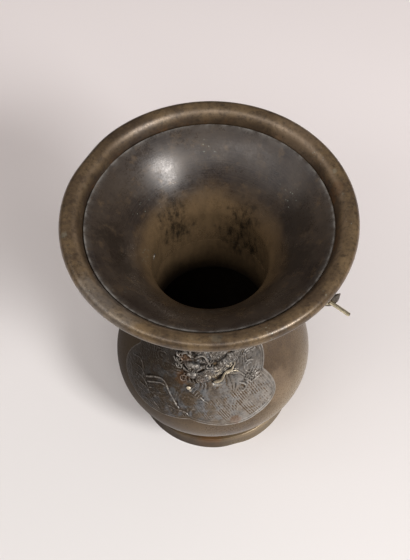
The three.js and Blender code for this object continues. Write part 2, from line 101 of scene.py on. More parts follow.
class VaseBodySizes(bpy.types.PropertyGroup):
    """Sizes of the turned pieces."""
    mouth_radius: length("Mouth radius", "From the axis to the rim's outer edge", RIM_HIGH.x)
    rim_top: length("Rim top", "Height of the rim's crown", RIM_HIGH.z)
    rim_bottom: length("Rim bottom", "Height of the rim's seat on the funnel", RIM_LOW.z)
    rim_overhang: length("Rim overhang", "How far the bead stands out past its crown", 5 * MM)
    rim_width: length("Rim width", "From the bead's outer edge to the inner foot of the rim", 15.4 * MM)
    rim_shoulder_reach: length("Shoulder reach", "How far the inner shoulder leans over the foot", 3.1 * MM)
    rim_shoulder_drop: length("Shoulder drop", "How far the inner shoulder lies below the crown", 3.4 * MM)
    rim_inner_edge: length("Inner edge", "Height of the rim's thin inner edge", 0.8 * MM)
    flange_thickness: length("Flange", "Thickness of the funnel's flange under the rim", 1.6 * MM)
    ledge_radius: length("Ledge radius", "Radius of the thin raised ledge beside the rim", 83.3 * MM)
    ledge_width: length("Ledge width", "Width of the ledge's crest", 0.8 * MM)
    ledge_top: length("Ledge top", "Height of the ledge's crest", TRUMPET_HIGH.z)
    throat_rise: length("Throat rise", "Height of the throat over the neck joint", 24 * MM)
    throat_ease: length("Throat ease", "How softly the throat turns into the flare", 12 * MM)
    flare_reach: length("Flare reach", "How far in the flare starts from the ledge", 24 * MM)
    flare_drop: length("Flare drop", "How far the flare drops from the ledge", 14 * MM)
    trumpet_wall: length("Funnel wall", "Wall thickness of the trumpet mouth", 3 * MM)
    spigot_wall: length("Spigot wall", "Wall thickness of the spigot in the neck", 1.3 * MM)
    neck_radius: length("Neck radius", "Outer radius at the neck joint", 44 * MM)
    neck_length: length("Neck length", "Length of the belly's straight neck", 15 * MM)
    seat_gap: length("Seat gap", "Solder film between seated pieces", 0.3 * MM)
    belly_radius: length("Belly radius", "Largest radius of the belly", BELLY_HIGH.x)
    belly_widest: length("Widest height", "Height where the belly is widest", 54 * MM)
    belly_wall: length("Belly wall", "Wall thickness of the belly", 3 * MM)
    waist_radius: length("Waist radius", "Radius where the belly meets the foot", 51 * MM)
    waist_spread: length("Waist spread", "How far the belly spreads above the waist", 11 * MM)
    waist_rise: length("Waist rise", "How far it rises over that spread", 8 * MM)
    lower_ease: length("Lower ease", "Softness of the belly below its widest height", 18 * MM)
    shoulder_ease: length("Shoulder ease", "Softness of the belly above its widest height", 32 * MM)
    neck_ease: length("Neck ease", "Softness of the belly below its straight neck", 30 * MM)
    throat_depth: length("Throat depth", "Height down to which the throat's straight wall runs", 104 * MM)
    throat_spread: share("Throat spread", "How steeply the wall turns out below that", 1.6)
    belly_seat: length("Belly seat", "Width of the ring that the belly stands on", 4.6 * MM)
    foot_radius: length("Foot radius", "Outer radius of the standing ring", FOOT_HIGH.x)
    foot_top: length("Foot top", "Height of the foot's seat for the belly", FOOT_HIGH.z)
    foot_band: length("Foot band", "Height of the foot's upright band", 8.6 * MM)
    foot_taper: length("Foot taper", "How far the band leans in", 1.6 * MM)
    foot_round: length("Foot round", "Rounding of the band's upper edge", 1.4 * MM)
    foot_wall: length("Foot wall", "Width of the standing ring", 6 * MM)
    foot_web: length("Foot web", "Thickness of the web under the base plate", 3 * MM)
    base_seat: length("Base seat", "Depth of the base plate's seat", 3.5 * MM)
    base_ledge: length("Base ledge", "Width of the base plate's ledge", 6 * MM)
    foot_shift: length("Foot shift", "How far the standing ring lies off the axis, to the front", 2.2 * MM)
    foot_shrink: length("Foot shrink", "How much smaller than drawn the standing ring came out", 2.4 * MM)
    hand_depth: length("Hand finish", "Depth of the hollows that hand finishing left", 0.12 * MM)
    hand_size: length("Hand finish size", "Width of those hollows", 22 * MM)
    turns: count("Turns", "Facets around the turned pieces", 192, 24)


class VasePanelSizes(bpy.types.PropertyGroup):
    """Sizes of the relief panels."""
    half_angle: angle("Half angle", "Half of the angle that a panel takes round the belly", 57.5)
    bottom: length("Bottom", "Height of the panel's lower edge", 63.5 * MM)
    height: length("Height", "Height of the panel", 76.5 * MM)
    ground: length("Ground", "How far the panel's ground stands over the belly", 0.25 * MM)
    skirt: length("Skirt", "How deep the panel's edge is let into the belly", 0.8 * MM)
    border_width: length("Border width", "Width of the raised border", 1.0 * MM)
    border_rise: length("Border rise", "Height of the raised border", 0.55 * MM)
    inner_line_inset: length("Inner line inset", "From the outline to the thin inner line", 2.6 * MM)
    inner_line_width: length("Inner line width", "Width of the thin inner line", 0.7 * MM)
    inner_line_rise: length("Inner line rise", "Height of the thin inner line", 0.42 * MM)
    dragon_girth: length("Dragon girth", "Width of the dragon's body", 11 * MM)
    dragon_rise: length("Dragon rise", "Height of the dragon's body", 2.8 * MM)
    scale_size: length("Scale size", "Length of one of the dragon's scales", 1.9 * MM)
    scale_depth: length("Scale depth", "Depth of the cut between scales", 0.4 * MM)
    cloud_width: length("Cloud width", "Width of a cloud scroll", 1.4 * MM)
    cloud_rise: length("Cloud rise", "Height of a cloud scroll", 1.1 * MM)
    flow_spacing: length("Flow spacing", "Spacing of the flowing lines that fill the ground", 1.5 * MM)
    flow_depth: length("Flow depth", "Depth of those lines", 0.32 * MM)
    wave_width: length("Wave width", "Width of a wave's crest", 1.7 * MM)
    wave_rise: length("Wave rise", "Height of a wave's crest", 1.45 * MM)
    water_spacing: length("Water spacing", "Spacing of the engraved water lines", 1.55 * MM)
    water_depth: length("Water depth", "Depth of the engraved water lines", 0.52 * MM)
    crust_depth: length("Crust depth", "Depth of the uneven cast detail on proud forms", 0.18 * MM)
    matting_depth: length("Matting depth", "Depth of the punched ground", 0.11 * MM)
    columns: count("Columns", "Grid columns over a panel", 560, 40)
    rows: count("Rows", "Grid rows over a panel", 390, 30)


class VaseHandleSizes(bpy.types.PropertyGroup):
    """Sizes of the handles, pins and rivets."""
    root_rise: length("Root rise", "Height of the handle's root over the neck joint", 16 * MM)
    root_width: length("Root width", "Width of the oval root plate", 17 * MM)
    root_length: length("Root length", "Length of the oval root plate", 27 * MM)
    root_thickness: length("Root thickness", "Thickness of the root plate", 2.6 * MM)
    arm_girth: length("Arm girth", "Height of the arm's section", 8 * MM)
    flatness: share("Flatness", "Thickness of the arm as a share of its height", 0.72)
    arm_reach: length("Arm reach", "How far the arm runs out before it sinks", 21 * MM)
    arm_rise: length("Arm rise", "How far the arm rises from its root", 6 * MM)
    bend_reach: length("Bend reach", "From the neck to the handle's low bend", 40 * MM)
    bend_drop: length("Bend drop", "How far the bend lies below the root", 15 * MM)
    bend_ease: length("Bend ease", "How level the arm runs into the bend", 14 * MM)
    hook_reach: length("Hook reach", "From the bend out to the hook's tip", 9.2 * MM)
    hook_rise: length("Hook rise", "From the bend up to the hook's tip", 15.5 * MM)
    hook_ease: length("Hook ease", "How level the hook leaves the bend", 4.5 * MM)
    hook_lean: length("Hook lean", "How far the hook leans back below its tip", 4.2 * MM)
    hook_curl: length("Hook curl", "How long the hook runs up to its tip", 8.5 * MM)
    hook_tip: length("Hook tip", "Height of the section where the tip begins to close", 5.2 * MM)
    pin_drop: angle("Pin drop", "How steeply the pin points down", 40)
    pin_diameter: length("Pin diameter", "Diameter of the dowel pin", 3 * MM)
    pin_length: length("Pin length", "Length of the dowel pin", 19.6 * MM)
    pin_reach: length("Pin reach", "From the bend out to the pin's inner end", 2.6 * MM)
    pin_rise: length("Pin rise", "From the bend up to the pin's inner end", 6.6 * MM)
    pin_chamfer: length("Pin chamfer", "Chamfer at the pin's end", 0.3 * MM)
    rivet_reach: length("Rivet reach", "From the bend out to the rivet", 0.9 * MM)
    rivet_rise: length("Rivet rise", "From the bend up to the rivet", 2.4 * MM)
    rivet_shank: length("Rivet shank", "Diameter of the rivet's shank", 1.4 * MM)
    rivet_diameter: length("Rivet diameter", "Diameter of the rivet's heads", 2.6 * MM)
    rivet_height: length("Rivet height", "Height of the rivet's heads", 0.9 * MM)
    rivet_seat: length("Rivet seat", "Depth of the rivet's seat in the handle's face", 0.4 * MM)
    casting_grain: length("Casting grain", "Voxel that melts the cast forms together", 0.5 * MM)


class VaseFinishes(bpy.types.PropertyGroup):
    """Colours of the bronze, its patina and the brass, and of the light and shade painted on them."""
    rim_dark: colour("Rim dark", "Olive-brown patina in the rim's low spots", "#4B3C2D")
    rim_light: colour("Rim light", "Rubbed olive bronze of the rim", "#7A6549")
    # Painted highlight: the pale colour of the rim's inner shoulder band and of a patch on its far right
    rim_painted_highlight: colour("Rim rubbed", "Bronze of the rim's shoulder, where fingers rub it", "#957F67")
    # Also laid in patches as painted shade on the rim's left and far side
    rim_inner: colour("Rim inner", "Dark brown patina on the rim's inner slope", "#33261B")
    funnel_dark: colour("Funnel dark", "Nearly black patina of the funnel", "#241C19")
    funnel_light: colour("Funnel light", "Paler brown patina of the funnel", "#42382F")
    throat: colour("Throat", "Olive-brown patina of the throat", "#6A563E")
    throat_dark: colour("Throat dark", "Dark blotches and streaks of the throat", "#231D16")
    # Painted shade: the near black that the belly's inside takes deep down, where little light reaches
    inside: colour("Inside", "Black deposit left by water inside the belly", "#15110D")
    belly_dark: colour("Belly dark", "Brown patina in the belly's low spots", "#4E3D2D")
    belly_light: colour("Belly light", "Rubbed brown bronze of the belly", "#6A573E")
    # Painted sheen: the pale colour of a spot low on the belly's right
    belly_painted_sheen: colour("Belly worn", "Paler bronze beside the panel, where it is worn most", "#A68F76")
    # Painted light: the colour the belly takes low on its right, where the lit floor would be reflected
    belly_painted_light: colour("Belly rubbed", "Brown bronze of the belly where hands hold it", "#978468")
    # Painted shade: the colour that the belly, trumpet and panels are darkened to on the left, away from the
    # softbox; the foot's band also takes it low down
    belly_shaded: colour("Belly shaded", "Dark patina on the belly's seldom held side", "#261F18")
    stain: colour("Stain", "Orange-brown stain of handled bronze", "#7A5028")
    fleck: colour("Fleck", "Nearly black flecks and pits in the patina", "#261E17")
    # Also the painted shade over the panel's upper part, under the lip
    relief_cuts_and_shade: colour("Relief deep", "Black left in the cuts of the relief", "#1C1712")
    relief_ground: colour("Relief ground", "Grey-brown ground of the relief", "#4F453C")
    relief_cool: colour("Relief cool", "Blue-grey patches on the relief", "#74787C")
    # Also painted sheen on the panel's right side, as well as real wear on proud forms
    relief_wear_and_sheen: colour("Relief rubbed", "Silver-grey of the rubbed relief", "#9B948C")
    # Partly painted: bright glints on a few proud spots that are also rubbed through to bare metal
    relief_glint: colour("Relief glint", "Bare metal where the relief is rubbed through", "#CDBFA6")
    handle_dark: colour("Handle dark", "Dark grey cast skin of the handles", "#453E38")
    handle_light: colour("Handle light", "Pale grey cast skin of the handles", "#857D72")
    verdigris: colour("Verdigris", "Pale grey-green specks of corrosion", "#9AA093")
    bloom: colour("Bloom", "Pale grey bloom along the ledge", "#A3A09B")
    brass: colour("Brass", "Bare brass of the pins and rivets", "#D8CDAE")


class VaseStage(bpy.types.PropertyGroup):
    """Floor, lights and camera."""
    floor_colour: colour("Floor", "Pale paper that the vase stands on", "#EAE6E4")
    floor_back: colour("Floor behind", "Paler and warmer paper behind the vase", "#F9F1F0")
    floor_size: length("Floor size", "Side of the floor", 6)
    ceiling_colour: colour("Ceiling", "Colour of the light from above", "#F9EEE8")
    wall_colour: colour("Walls", "Colour of the light from the sides of the room", "#736860")
    world_strength: share("Room strength", "Strength of the light from the room", 0.322)
    key_azimuth: angle("Key azimuth", "Direction of the softbox, from the front towards the right", 62)
    key_elevation: angle("Key elevation", "Height of the softbox above the horizon", 37)
    key_distance: length("Key distance", "From the mouth to the softbox", 1.7)
    key_size: length("Key size", "Side of the softbox", 0.48)
    key_power: power("Key power", "Power of the softbox", 23)
    fill_azimuth: angle("Fill azimuth", "Direction of the broad fill, from the front towards the right", -4)
    fill_elevation: angle("Fill elevation", "Height of the fill above the horizon", 51)
    fill_distance: length("Fill distance", "From the mouth to the fill", 1.6)
    fill_width: length("Fill width", "Width of the fill", 2.0)
    fill_height: length("Fill height", "Height of the fill", 0.45)
    fill_power: power("Fill power", "Power of the fill", 9.3)
    side_azimuth: angle("Side azimuth", "Direction of the side light, from the front towards the right", -66)
    side_elevation: angle("Side elevation", "Height of the side light above the horizon", 43)
    side_distance: length("Side distance", "From the mouth to the side light", 1.6)
    side_size: length("Side size", "Side of the side light", 1.1)
    side_power: power("Side power", "Power of the side light", 4.6)
    camera_azimuth: angle("Camera azimuth", "Direction of the camera, from the front to the right", 15)
    camera_elevation: angle("Camera elevation", "Height of the camera above the horizon", 55.22)
    camera_distance: length("Camera distance", "From the camera to the mouth's centre", 797.6 * MM)
    camera_height: length("Target height", "Height of the point that the camera is set from", 228.9 * MM)
    camera_pan: angle("Camera pan", "Turn of the camera off the mouth's centre", 0.276)
    camera_tilt: angle("Camera tilt", "Nod of the camera off the mouth's centre", -2.952)
    camera_roll: angle("Camera roll", "Roll of the camera", 1.805)
    focal_pixels: FloatProperty(
        name="Focal length", description="Focal length in pixels of the image", default=1200, subtype="PIXEL")
    sensor_width: FloatProperty(
        name="Sensor", description="Width of the sensor in millimetres", default=36,
        subtype="DISTANCE_CAMERA")


# Shapes

# Steps or points along the curves of the profiles and of the handle
LOWER_BELLY_STEPS = 32
SHOULDER_STEPS = 56
NECK_STEPS = 8
BEAD_POINTS = 29
RIM_SLOPE_STEPS = 24
FUNNEL_STEPS = 72
THROAT_POINTS = 14
FOOT_EDGE_STEPS = 10
FOOT_COVE_STEPS = 16
ARM_STEPS = 40
HOOK_STEPS = 26
DOME_POINTS = 7
# Facets around the handle's arm, its root plate, and the pins and rivets
ARM_SIDES = 18
ROOT_SIDES = 48
SMALL_TURNS = 32
# Radii below this count as on the axis, and edges sharper than this stay sharp
ON_AXIS = 1e-9
SHARP_ANGLE = math.radians(38)

# How much pale bloom the funnel's first points below the ledge still have
LEDGE_FADE = (0.7, 0.2, 0.12, 0.07, 0.03)
# Where across the rim's inner slope the band of painted highlight lies, and over what share of it
HIGHLIGHT_MIDDLE, HIGHLIGHT_SPREAD = 0.55, 0.15
# Knocks, and where the standing ring lies off the axis, by directions from the front towards the right
RIM_KNOCK = {"degrees": -107.3, "width": 16 * MM, "depth": 1.2 * MM}
RIM_KNOCK_DROP = 5 * MM
FOOT_KNOCK = {"degrees": 29, "height": 2 * MM, "width": 8 * MM, "depth": 0.9 * MM}
FOOT_LEAN = math.radians(25)
# Turning marks under the base plate, wider than real ones so that they show
BASE_RINGS = 40
BASE_MARK_DEPTH = 0.08 * MM
BASE_MARK_WIDTH = 0.9 * MM
# The share of the handle's line over which the hook closes to its tip, and how bluntly
TIP_SHARE, TIP_END, TIP_BLUNTNESS = 0.13, 0.03, 0.55
# The root plate's outer face as a share of its inner one, and how often the melted casting is eased
ROOT_TAPER = 0.92
EASE_ROUNDS = 5


def direction(azimuth, elevation):
    """A unit vector, turned from the front towards the right and raised above the horizon."""
    level = math.cos(elevation)
    return Vector((math.sin(azimuth) * level, -math.cos(azimuth) * level, math.sin(elevation)))


def bezier(start, control1, control2, end, steps):
    """Points on a cubic curve with these ends and control points."""
    t = np.linspace(0, 1, steps + 1)[:, None]
    p = np.array([start, control1, control2, end], float)
    return (1 - t) ** 3 * p[0] + 3 * (1 - t) ** 2 * t * p[1] + 3 * (1 - t) * t ** 2 * p[2] + t ** 3 * p[3]


def offset_profile(points, distance):
    """A rising profile shifted to its right, which is outwards on the outer side."""
    along = np.gradient(points, axis=0)
    along /= np.linalg.norm(along, axis=1, keepdims=True)
    return points + distance * np.stack([along[:, 1], -along[:, 0]], axis=1)


def spline(points, steps):
    """A smooth path through points, with the same number of steps between each two."""
    p = np.asarray(points, float)
    p = np.vstack([2 * p[0] - p[1], p, 2 * p[-1] - p[-2]])
    t = np.linspace(0, 1, steps, endpoint=False)[:, None]
    parts = []
    for a, b, c, d in zip(p[:-3], p[1:-2], p[2:-1], p[3:]):
        parts.append(0.5 * (2 * b + (c - a) * t + (2 * a - 5 * b + 4 * c - d) * t ** 2
                            + (3 * b - a - 3 * c + d) * t ** 3))
    return np.vstack([*parts, p[-2:-1]])


def turned_mesh(name, profile, turns):
    """A profile of (radius, height) points turned about Z. It closes on itself, or on the axis."""
    profile = np.asarray(profile, float)
    on_axis = profile[0][0] < ON_AXIS
    turn = np.linspace(0, 2 * math.pi, turns, endpoint=False)
    rings, verts = [], []
    for radius, height in profile:
        if radius < ON_AXIS:
            rings.append([len(verts)] * turns)
            verts.append((0, 0, height))
        else:
            rings.append(list(range(len(verts), len(verts) + turns)))
            verts.extend(zip(radius * np.cos(turn), radius * np.sin(turn), [height] * turns))
    pairs = list(zip(rings, rings[1:]))
    if not on_axis:
        pairs.append((rings[-1], rings[0]))
    faces = []
    for low, high in pairs:
        for k in range(turns):
            n = (k + 1) % turns
            corner = [low[k], low[n], high[n], high[k]]
            faces.append(list(dict.fromkeys(corner)))
    mesh = bpy.data.meshes.new(name)
    mesh.from_pydata(verts, [], faces)
    mesh.validate()
    return mesh


def finish_by_hand(mesh, depth, size, place):
    """Shallow uneven hollows, as scraping and polishing by hand leave them. Each piece takes its own
    place in the noise."""
    normals = [vertex.normal.copy() for vertex in mesh.vertices]
    for vertex, normal in zip(mesh.vertices, normals):
        wander = noise.noise(vertex.co / size + Vector((place, 0, 0)))
        vertex.co -= normal * (depth * (1 + wander) / 2)


def dent(mesh, degrees, height, width, depth):
    """A knock that presses the surface in towards the axis around one direction and height."""
    centre = direction(math.radians(degrees), 0)
    for vertex in mesh.vertices:
        out = Vector((vertex.co.x, vertex.co.y, 0))
        side = (out - centre * out.dot(centre)).length if out.dot(centre) > 0 else math.inf
        reach = math.exp(-(side / width) ** 2 - ((vertex.co.z - height) / width) ** 2)
        vertex.co -= out.normalized() * (depth * reach)


def add_piece(name, mesh, node, material):
    """Puts a mesh in the scene in place of a CAD node."""
    piece = bpy.data.objects.new(name, mesh)
    bpy.context.scene.collection.objects.link(piece)
    mesh.materials.clear()
    mesh.materials.append(material)
    mesh.shade_smooth()
    mesh.set_sharp_from_angle(angle=SHARP_ANGLE)
    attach(piece, "root")
    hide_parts(node)


def store(mesh, name, values):
    """Keeps one number for each vertex, which the materials read."""
    attribute = mesh.attributes.new(name, "FLOAT", "POINT")
    attribute.data.foreach_set("value", np.asarray(values, np.float32))


def belly_upper(v):
    """The belly's outer profile from its widest height up to the neck joint."""
    foot_of_neck = BELLY_HIGH.z - v.neck_length
    shoulder = bezier(
        (v.belly_radius, v.belly_widest),
        (v.belly_radius, v.belly_widest + v.shoulder_ease),
        (v.neck_radius, foot_of_neck - v.neck_ease),
        (v.neck_radius, foot_of_neck), SHOULDER_STEPS)
    neck = np.linspace((v.neck_radius, foot_of_neck), (v.neck_radius, BELLY_HIGH.z), NECK_STEPS + 1)
    return np.vstack([shoulder, neck[1:]])


def belly_outer(v):
    """The whole of the belly's outer profile."""
    lower = bezier(
        (v.waist_radius, BELLY_LOW.z),
        (v.waist_radius + v.waist_spread, BELLY_LOW.z + v.waist_rise),
        (v.belly_radius, v.belly_widest - v.lower_ease),
        (v.belly_radius, v.belly_widest), LOWER_BELLY_STEPS)
    return np.vstack([lower[:-1], belly_upper(v)])


def rim_profile(v):
    """The rim's closed profile: its seat, the bead and the slope down to its inner edge."""
    turn = np.linspace(-math.pi / 2, math.pi / 2, BEAD_POINTS)
    crown_radius = v.mouth_radius - v.rim_overhang
    middle = (v.rim_top + v.rim_bottom) / 2
    half = (v.rim_top - v.rim_bottom) / 2
    bead = np.stack([crown_radius + v.rim_overhang * np.cos(turn), middle + half * np.sin(turn)], axis=1)
    foot = v.mouth_radius - v.rim_width
    slope = bezier(
        (crown_radius, v.rim_top),
        (crown_radius - v.rim_overhang, v.rim_top),
        (foot + v.rim_shoulder_reach, v.rim_top - v.rim_shoulder_drop),
        (foot, v.rim_bottom + v.rim_inner_edge), RIM_SLOPE_STEPS)
    return np.vstack([[(foot, v.rim_bottom)], bead, slope[1:]])


def trumpet_profile(v):
    """The trumpet mouth's closed profile, and how much of each point lies on the ledge's crest."""
    joint = BELLY_HIGH.z + v.seat_gap
    throat_height = BELLY_HIGH.z + v.throat_rise
    throat = v.neck_radius - v.belly_wall
    funnel = bezier(
        (throat, throat_height),
        (throat, throat_height + v.throat_ease),
        (v.ledge_radius - v.flare_reach, v.ledge_top - v.flare_drop),
        (v.ledge_radius, v.ledge_top), FUNNEL_STEPS)
    outer = offset_profile(funnel, v.trumpet_wall)[:-2]
    seat = v.rim_bottom - v.seat_gap
    crown_radius = v.mouth_radius - v.rim_overhang
    ledge_outer = v.ledge_radius + v.ledge_width
    spigot = throat + v.spigot_wall
    below = [
        (throat, TRUMPET_LOW.z), (spigot, TRUMPET_LOW.z), (spigot, joint), (v.neck_radius, joint),
        *outer, (crown_radius, seat - v.flange_thickness), (crown_radius, seat), (ledge_outer, seat),
    ]
    crest = [(ledge_outer, v.ledge_top - v.ledge_width / 3), (ledge_outer - v.ledge_width / 3, v.ledge_top)]
    walls = np.linspace(throat_height, TRUMPET_LOW.z, THROAT_POINTS)[1:-1]
    inside = [*funnel[::-1], *((throat, z) for z in walls)]
    fade = [*LEDGE_FADE] + [0] * (len(inside) - len(LEDGE_FADE))
    return [*below, *crest, *inside], [0] * len(below) + [1] * len(crest) + fade


def foot_profile(v):
    """The foot's closed profile: band, rounded edge, cove, seats and web."""
    band_top = v.foot_radius - v.foot_taper
    edge_top = v.foot_band + v.foot_round
    edge_inner = band_top - 2 * v.foot_round
    edge = bezier(
        (band_top, v.foot_band), (band_top, edge_top),
        (band_top - v.foot_round, edge_top), (edge_inner, edge_top), FOOT_EDGE_STEPS)
    cove = bezier(
        (edge_inner, edge_top), ((band_top + v.waist_radius) / 2, edge_top),
        (v.waist_radius, (edge_top + v.foot_top) / 2), (v.waist_radius, v.foot_top), FOOT_COVE_STEPS)
    seat_inner = v.waist_radius - v.belly_seat
    base_seat = v.foot_top - v.base_seat
    web_bottom = base_seat - v.foot_web
    return [
        (v.foot_radius, 0), *edge, *cove[1:], (seat_inner, v.foot_top), (seat_inner, base_seat),
        (seat_inner - v.base_ledge, base_seat), (seat_inner - v.base_ledge, web_bottom),
        (v.waist_radius, web_bottom), (v.foot_radius - v.foot_wall, 0),
    ]


# The relief. Its motifs are drawn in panel coordinates: across runs from -1 to 1 over the panel's
# width, and up from 0 to 1 over its height.

OUTLINE_START = (0, 0.07)
OUTLINE_LOBES = (
    ((0.455, -0.055), (0.69, 0.04)),
    ((1.145, 0.15), (0.94, 0.46)),
    ((1.29, 0.745), (0.72, 0.93)),
    ((0.4, 1.05), (0, 0.97)),
)
LOBE_STEPS = 24
PATH_STEPS = 8
CURL_POINTS = 22
# How far the grid reaches past the panel, and down to what share of the skirt it is kept
GRID_ACROSS = 1.13
GRID_MARGIN = 0.05
SKIRT_SHOWN = 0.9
# The middle line of the dragon's face
FACE_MIDDLE = -0.018
WEAR_SEED, FLOW_SEED, CRUST_SEED, MATTING_SEED = 2, 4, 7, 11


class Relief:
    """Height of the relief over the belly on a grid of panel coordinates, in metres."""

    def __init__(self, body, panel):
        self.panel = panel
        profile = belly_upper(body)
        steps = np.linalg.norm(np.diff(profile, axis=0), axis=1)
        self.profile = profile
        self.travel = np.concatenate([[0], np.cumsum(steps)])
        self.across, self.up = np.meshgrid(
            np.linspace(-GRID_ACROSS, GRID_ACROSS, panel.columns),
            np.linspace(-GRID_MARGIN, 1 + GRID_MARGIN, panel.rows))
        self.flat = self.unroll(self.across, self.up)
        self.height = np.full(self.across.shape, panel.ground)
        patchy = soften(np.random.default_rng(WEAR_SEED).normal(size=self.across.shape), 9)
        self.wear = np.clip(0.8 + 0.25 * patchy / patchy.std(), 0.4, 1.1)

    def level(self, up):
        """The height over the floor of a place on the panel."""
        return self.panel.bottom + up * self.panel.height

    def unroll(self, across, up):
        """Panel coordinates as lengths along the belly's surface."""
        z = self.level(np.asarray(up, float))
        radius = np.interp(z, self.profile[:, 1], self.profile[:, 0])
        return np.stack([
            np.asarray(across, float) * self.panel.half_angle * radius,
            np.interp(z, self.profile[:, 1], self.travel)], axis=-1)

    def follow(self, path, reach):
        """The grid points near a path, with their distance to it, place along it and signed side."""
        low, high = path.min(axis=0) - reach, path.max(axis=0) + reach
        near = np.all((self.flat > low) & (self.flat < high), axis=-1)
        start, run = path[:-1], np.diff(path, axis=0)
        gap = self.flat[near][:, None] - start
        t = np.clip((gap * run).sum(axis=-1) / (run ** 2).sum(axis=-1), 0, 1)
        gap = gap - t[..., None] * run
        nearest = np.argmin((gap ** 2).sum(axis=-1), axis=1)
        pick = np.arange(len(nearest))
        gap, run = gap[pick, nearest], run[nearest]
        side = np.sign(run[:, 0] * gap[:, 1] - run[:, 1] * gap[:, 0])
        place = (nearest + t[pick, nearest]) / len(start)
        return near, np.linalg.norm(gap, axis=1), place, side

    def path(self, points):
        """A smooth path through panel coordinates, in lengths along the surface."""
        return spline(self.unroll(*np.transpose(points)), PATH_STEPS)

    def ridge(self, points, width, rise, tip=1.0):
        """A rounded raised line that narrows to a share of its width at its far end."""
        near, gap, place, _ = self.follow(self.path(points), width)
        half = width / 2 * (1 + (tip - 1) * place)
        lift = rise * self.wear[near] * np.sqrt(np.clip(1 - (gap / half) ** 2, 0, 1))
        self.height[near] = np.maximum(self.height[near], self.panel.ground * (lift > 0) + lift)

    def groove(self, points, width, depth):
        """A round-bottomed cut along a path."""
        near, gap, _, _ = self.follow(self.path(points), width)
        self.height[near] -= depth * np.sqrt(np.clip(1 - (2 * gap / width) ** 2, 0, 1))

    def coil(self, points, width, rise):
        """A stretch of the dragon's body with overlapping scales."""
        path = self.path(points)
        run = np.linalg.norm(np.diff(path, axis=0), axis=1).sum()
        near, gap, place, side = self.follow(path, width)
        round_off = np.clip(1 - (2 * gap / width) ** 2, 0, 1)
        size = self.panel.scale_size
        row = place * run / size + 0.35 * np.cos(2 * math.pi * side * gap / size)
        scale = self.panel.scale_depth * (row % 1 - 0.5)
        lift = (rise + scale) * np.sqrt(round_off)
        self.height[near] = np.where(round_off > 0, np.maximum(self.height[near], lift), self.height[near])

    def boss(self, centre, width, tall, rise, on_top=False):
        """A rounded swelling, either over the ground or on top of what is there."""
        middle = self.unroll(*centre)
        gap = (self.flat - middle) / (width / 2, tall / 2)
        lift = rise * np.sqrt(np.clip(1 - (gap ** 2).sum(axis=-1), 0, 1))
        raised = self.height + lift if on_top else np.maximum(self.height, lift)
        self.height = np.where(lift > 0, raised, self.height)

    def pit(self, centre, width, tall, depth):
        """A soft hollow."""
        gap = (self.flat - self.unroll(*centre)) / (width / 2, tall / 2)
        self.height -= depth * np.exp(-2 * (gap ** 2).sum(axis=-1))

    def curl(self, centre, size, start, turns, width, rise):
        """A spiral lock or scroll that winds in around a centre."""
        turn = np.radians(start) + np.linspace(0, 2 * math.pi * turns, CURL_POINTS)
        radius = size * np.linspace(1, 0.25, CURL_POINTS)
        path = self.unroll(*centre) + np.stack([radius * np.cos(turn), radius * np.sin(turn)], axis=1)
        near, gap, _, _ = self.follow(path, width)
        lift = rise * np.sqrt(np.clip(1 - (2 * gap / width) ** 2, 0, 1))
        self.height[near] = np.maximum(self.height[near], self.panel.ground * (lift > 0) + lift)

    def water(self, start, end, lines):
        """Engraved parallel lines, counted to the left of the first one, from its start to its end, worn
        away in patches. The real ones lie closer: these are as coarse as it takes to show them."""
        first, last = self.unroll(*start), self.unroll(*end)
        run = np.linalg.norm(last - first)
        along = (last - first) / run
        gap = self.flat - first
        spacing = self.panel.water_spacing
        off = gap @ (-along[1], along[0])
        row = np.round(off / spacing)
        ragged = 1.6 * spacing * np.sin(2.4 * row) + spacing * np.sin(1.1 * row + 1)
        reach = gap @ along + ragged
        soft = np.clip(np.minimum(reach, run - reach) / (4 * spacing), 0, 1)
        inside = (row >= 0) & (row < lines)
        cut = 0.5 + 0.5 * np.cos(2 * math.pi * off / spacing)
        worn = np.clip(1.9 * self.wear - 0.75, 0.3, 1) * (1 - 0.65 * row / lines)
        self.height -= self.panel.water_depth * worn * cut * soft * inside

    def flow(self):
        """Curling parallel lines of mist and spray over the ground, deeper in some places than in others."""
        p = self.panel
        chance = np.random.default_rng(FLOW_SEED)
        swirl, depth = (soften(chance.normal(size=self.height.shape), cells) for cells in (16, 24))
        swirl *= 5 * MM / swirl.std()
        drift = swirl + self.flat @ (0.5, -0.3)
        lines = np.sin(math.pi * drift / p.flow_spacing)
        reach = np.clip(0.7 + 0.5 * depth / depth.std(), 0.15, 1.3)
        still = np.clip((self.up - 0.36 - 0.2 * np.clip(0.2 - self.across, 0, 1)) / 0.06, 0, 1)
        ground = np.clip(1 - (self.height - p.ground) / (0.8 * MM), 0.45, 1)
        self.height += p.flow_depth * lines * reach * ground * np.maximum(still, 0.25)

    def crust(self):
        """Uneven cast detail on whatever stands proud, as worn scales and hair leave it."""
        bumps = soften(np.random.default_rng(CRUST_SEED).normal(size=self.height.shape), 2.6)
        proud = np.clip((self.height - self.panel.ground) / (1.2 * MM), 0, 1)
        self.height += self.panel.crust_depth * proud * bumps / bumps.std()

    def matting(self):
        """Fine punch marks all over."""
        grain = np.random.default_rng(MATTING_SEED).normal(size=self.height.shape)
        self.height += self.panel.matting_depth * 2 * soften(grain, 1.2)

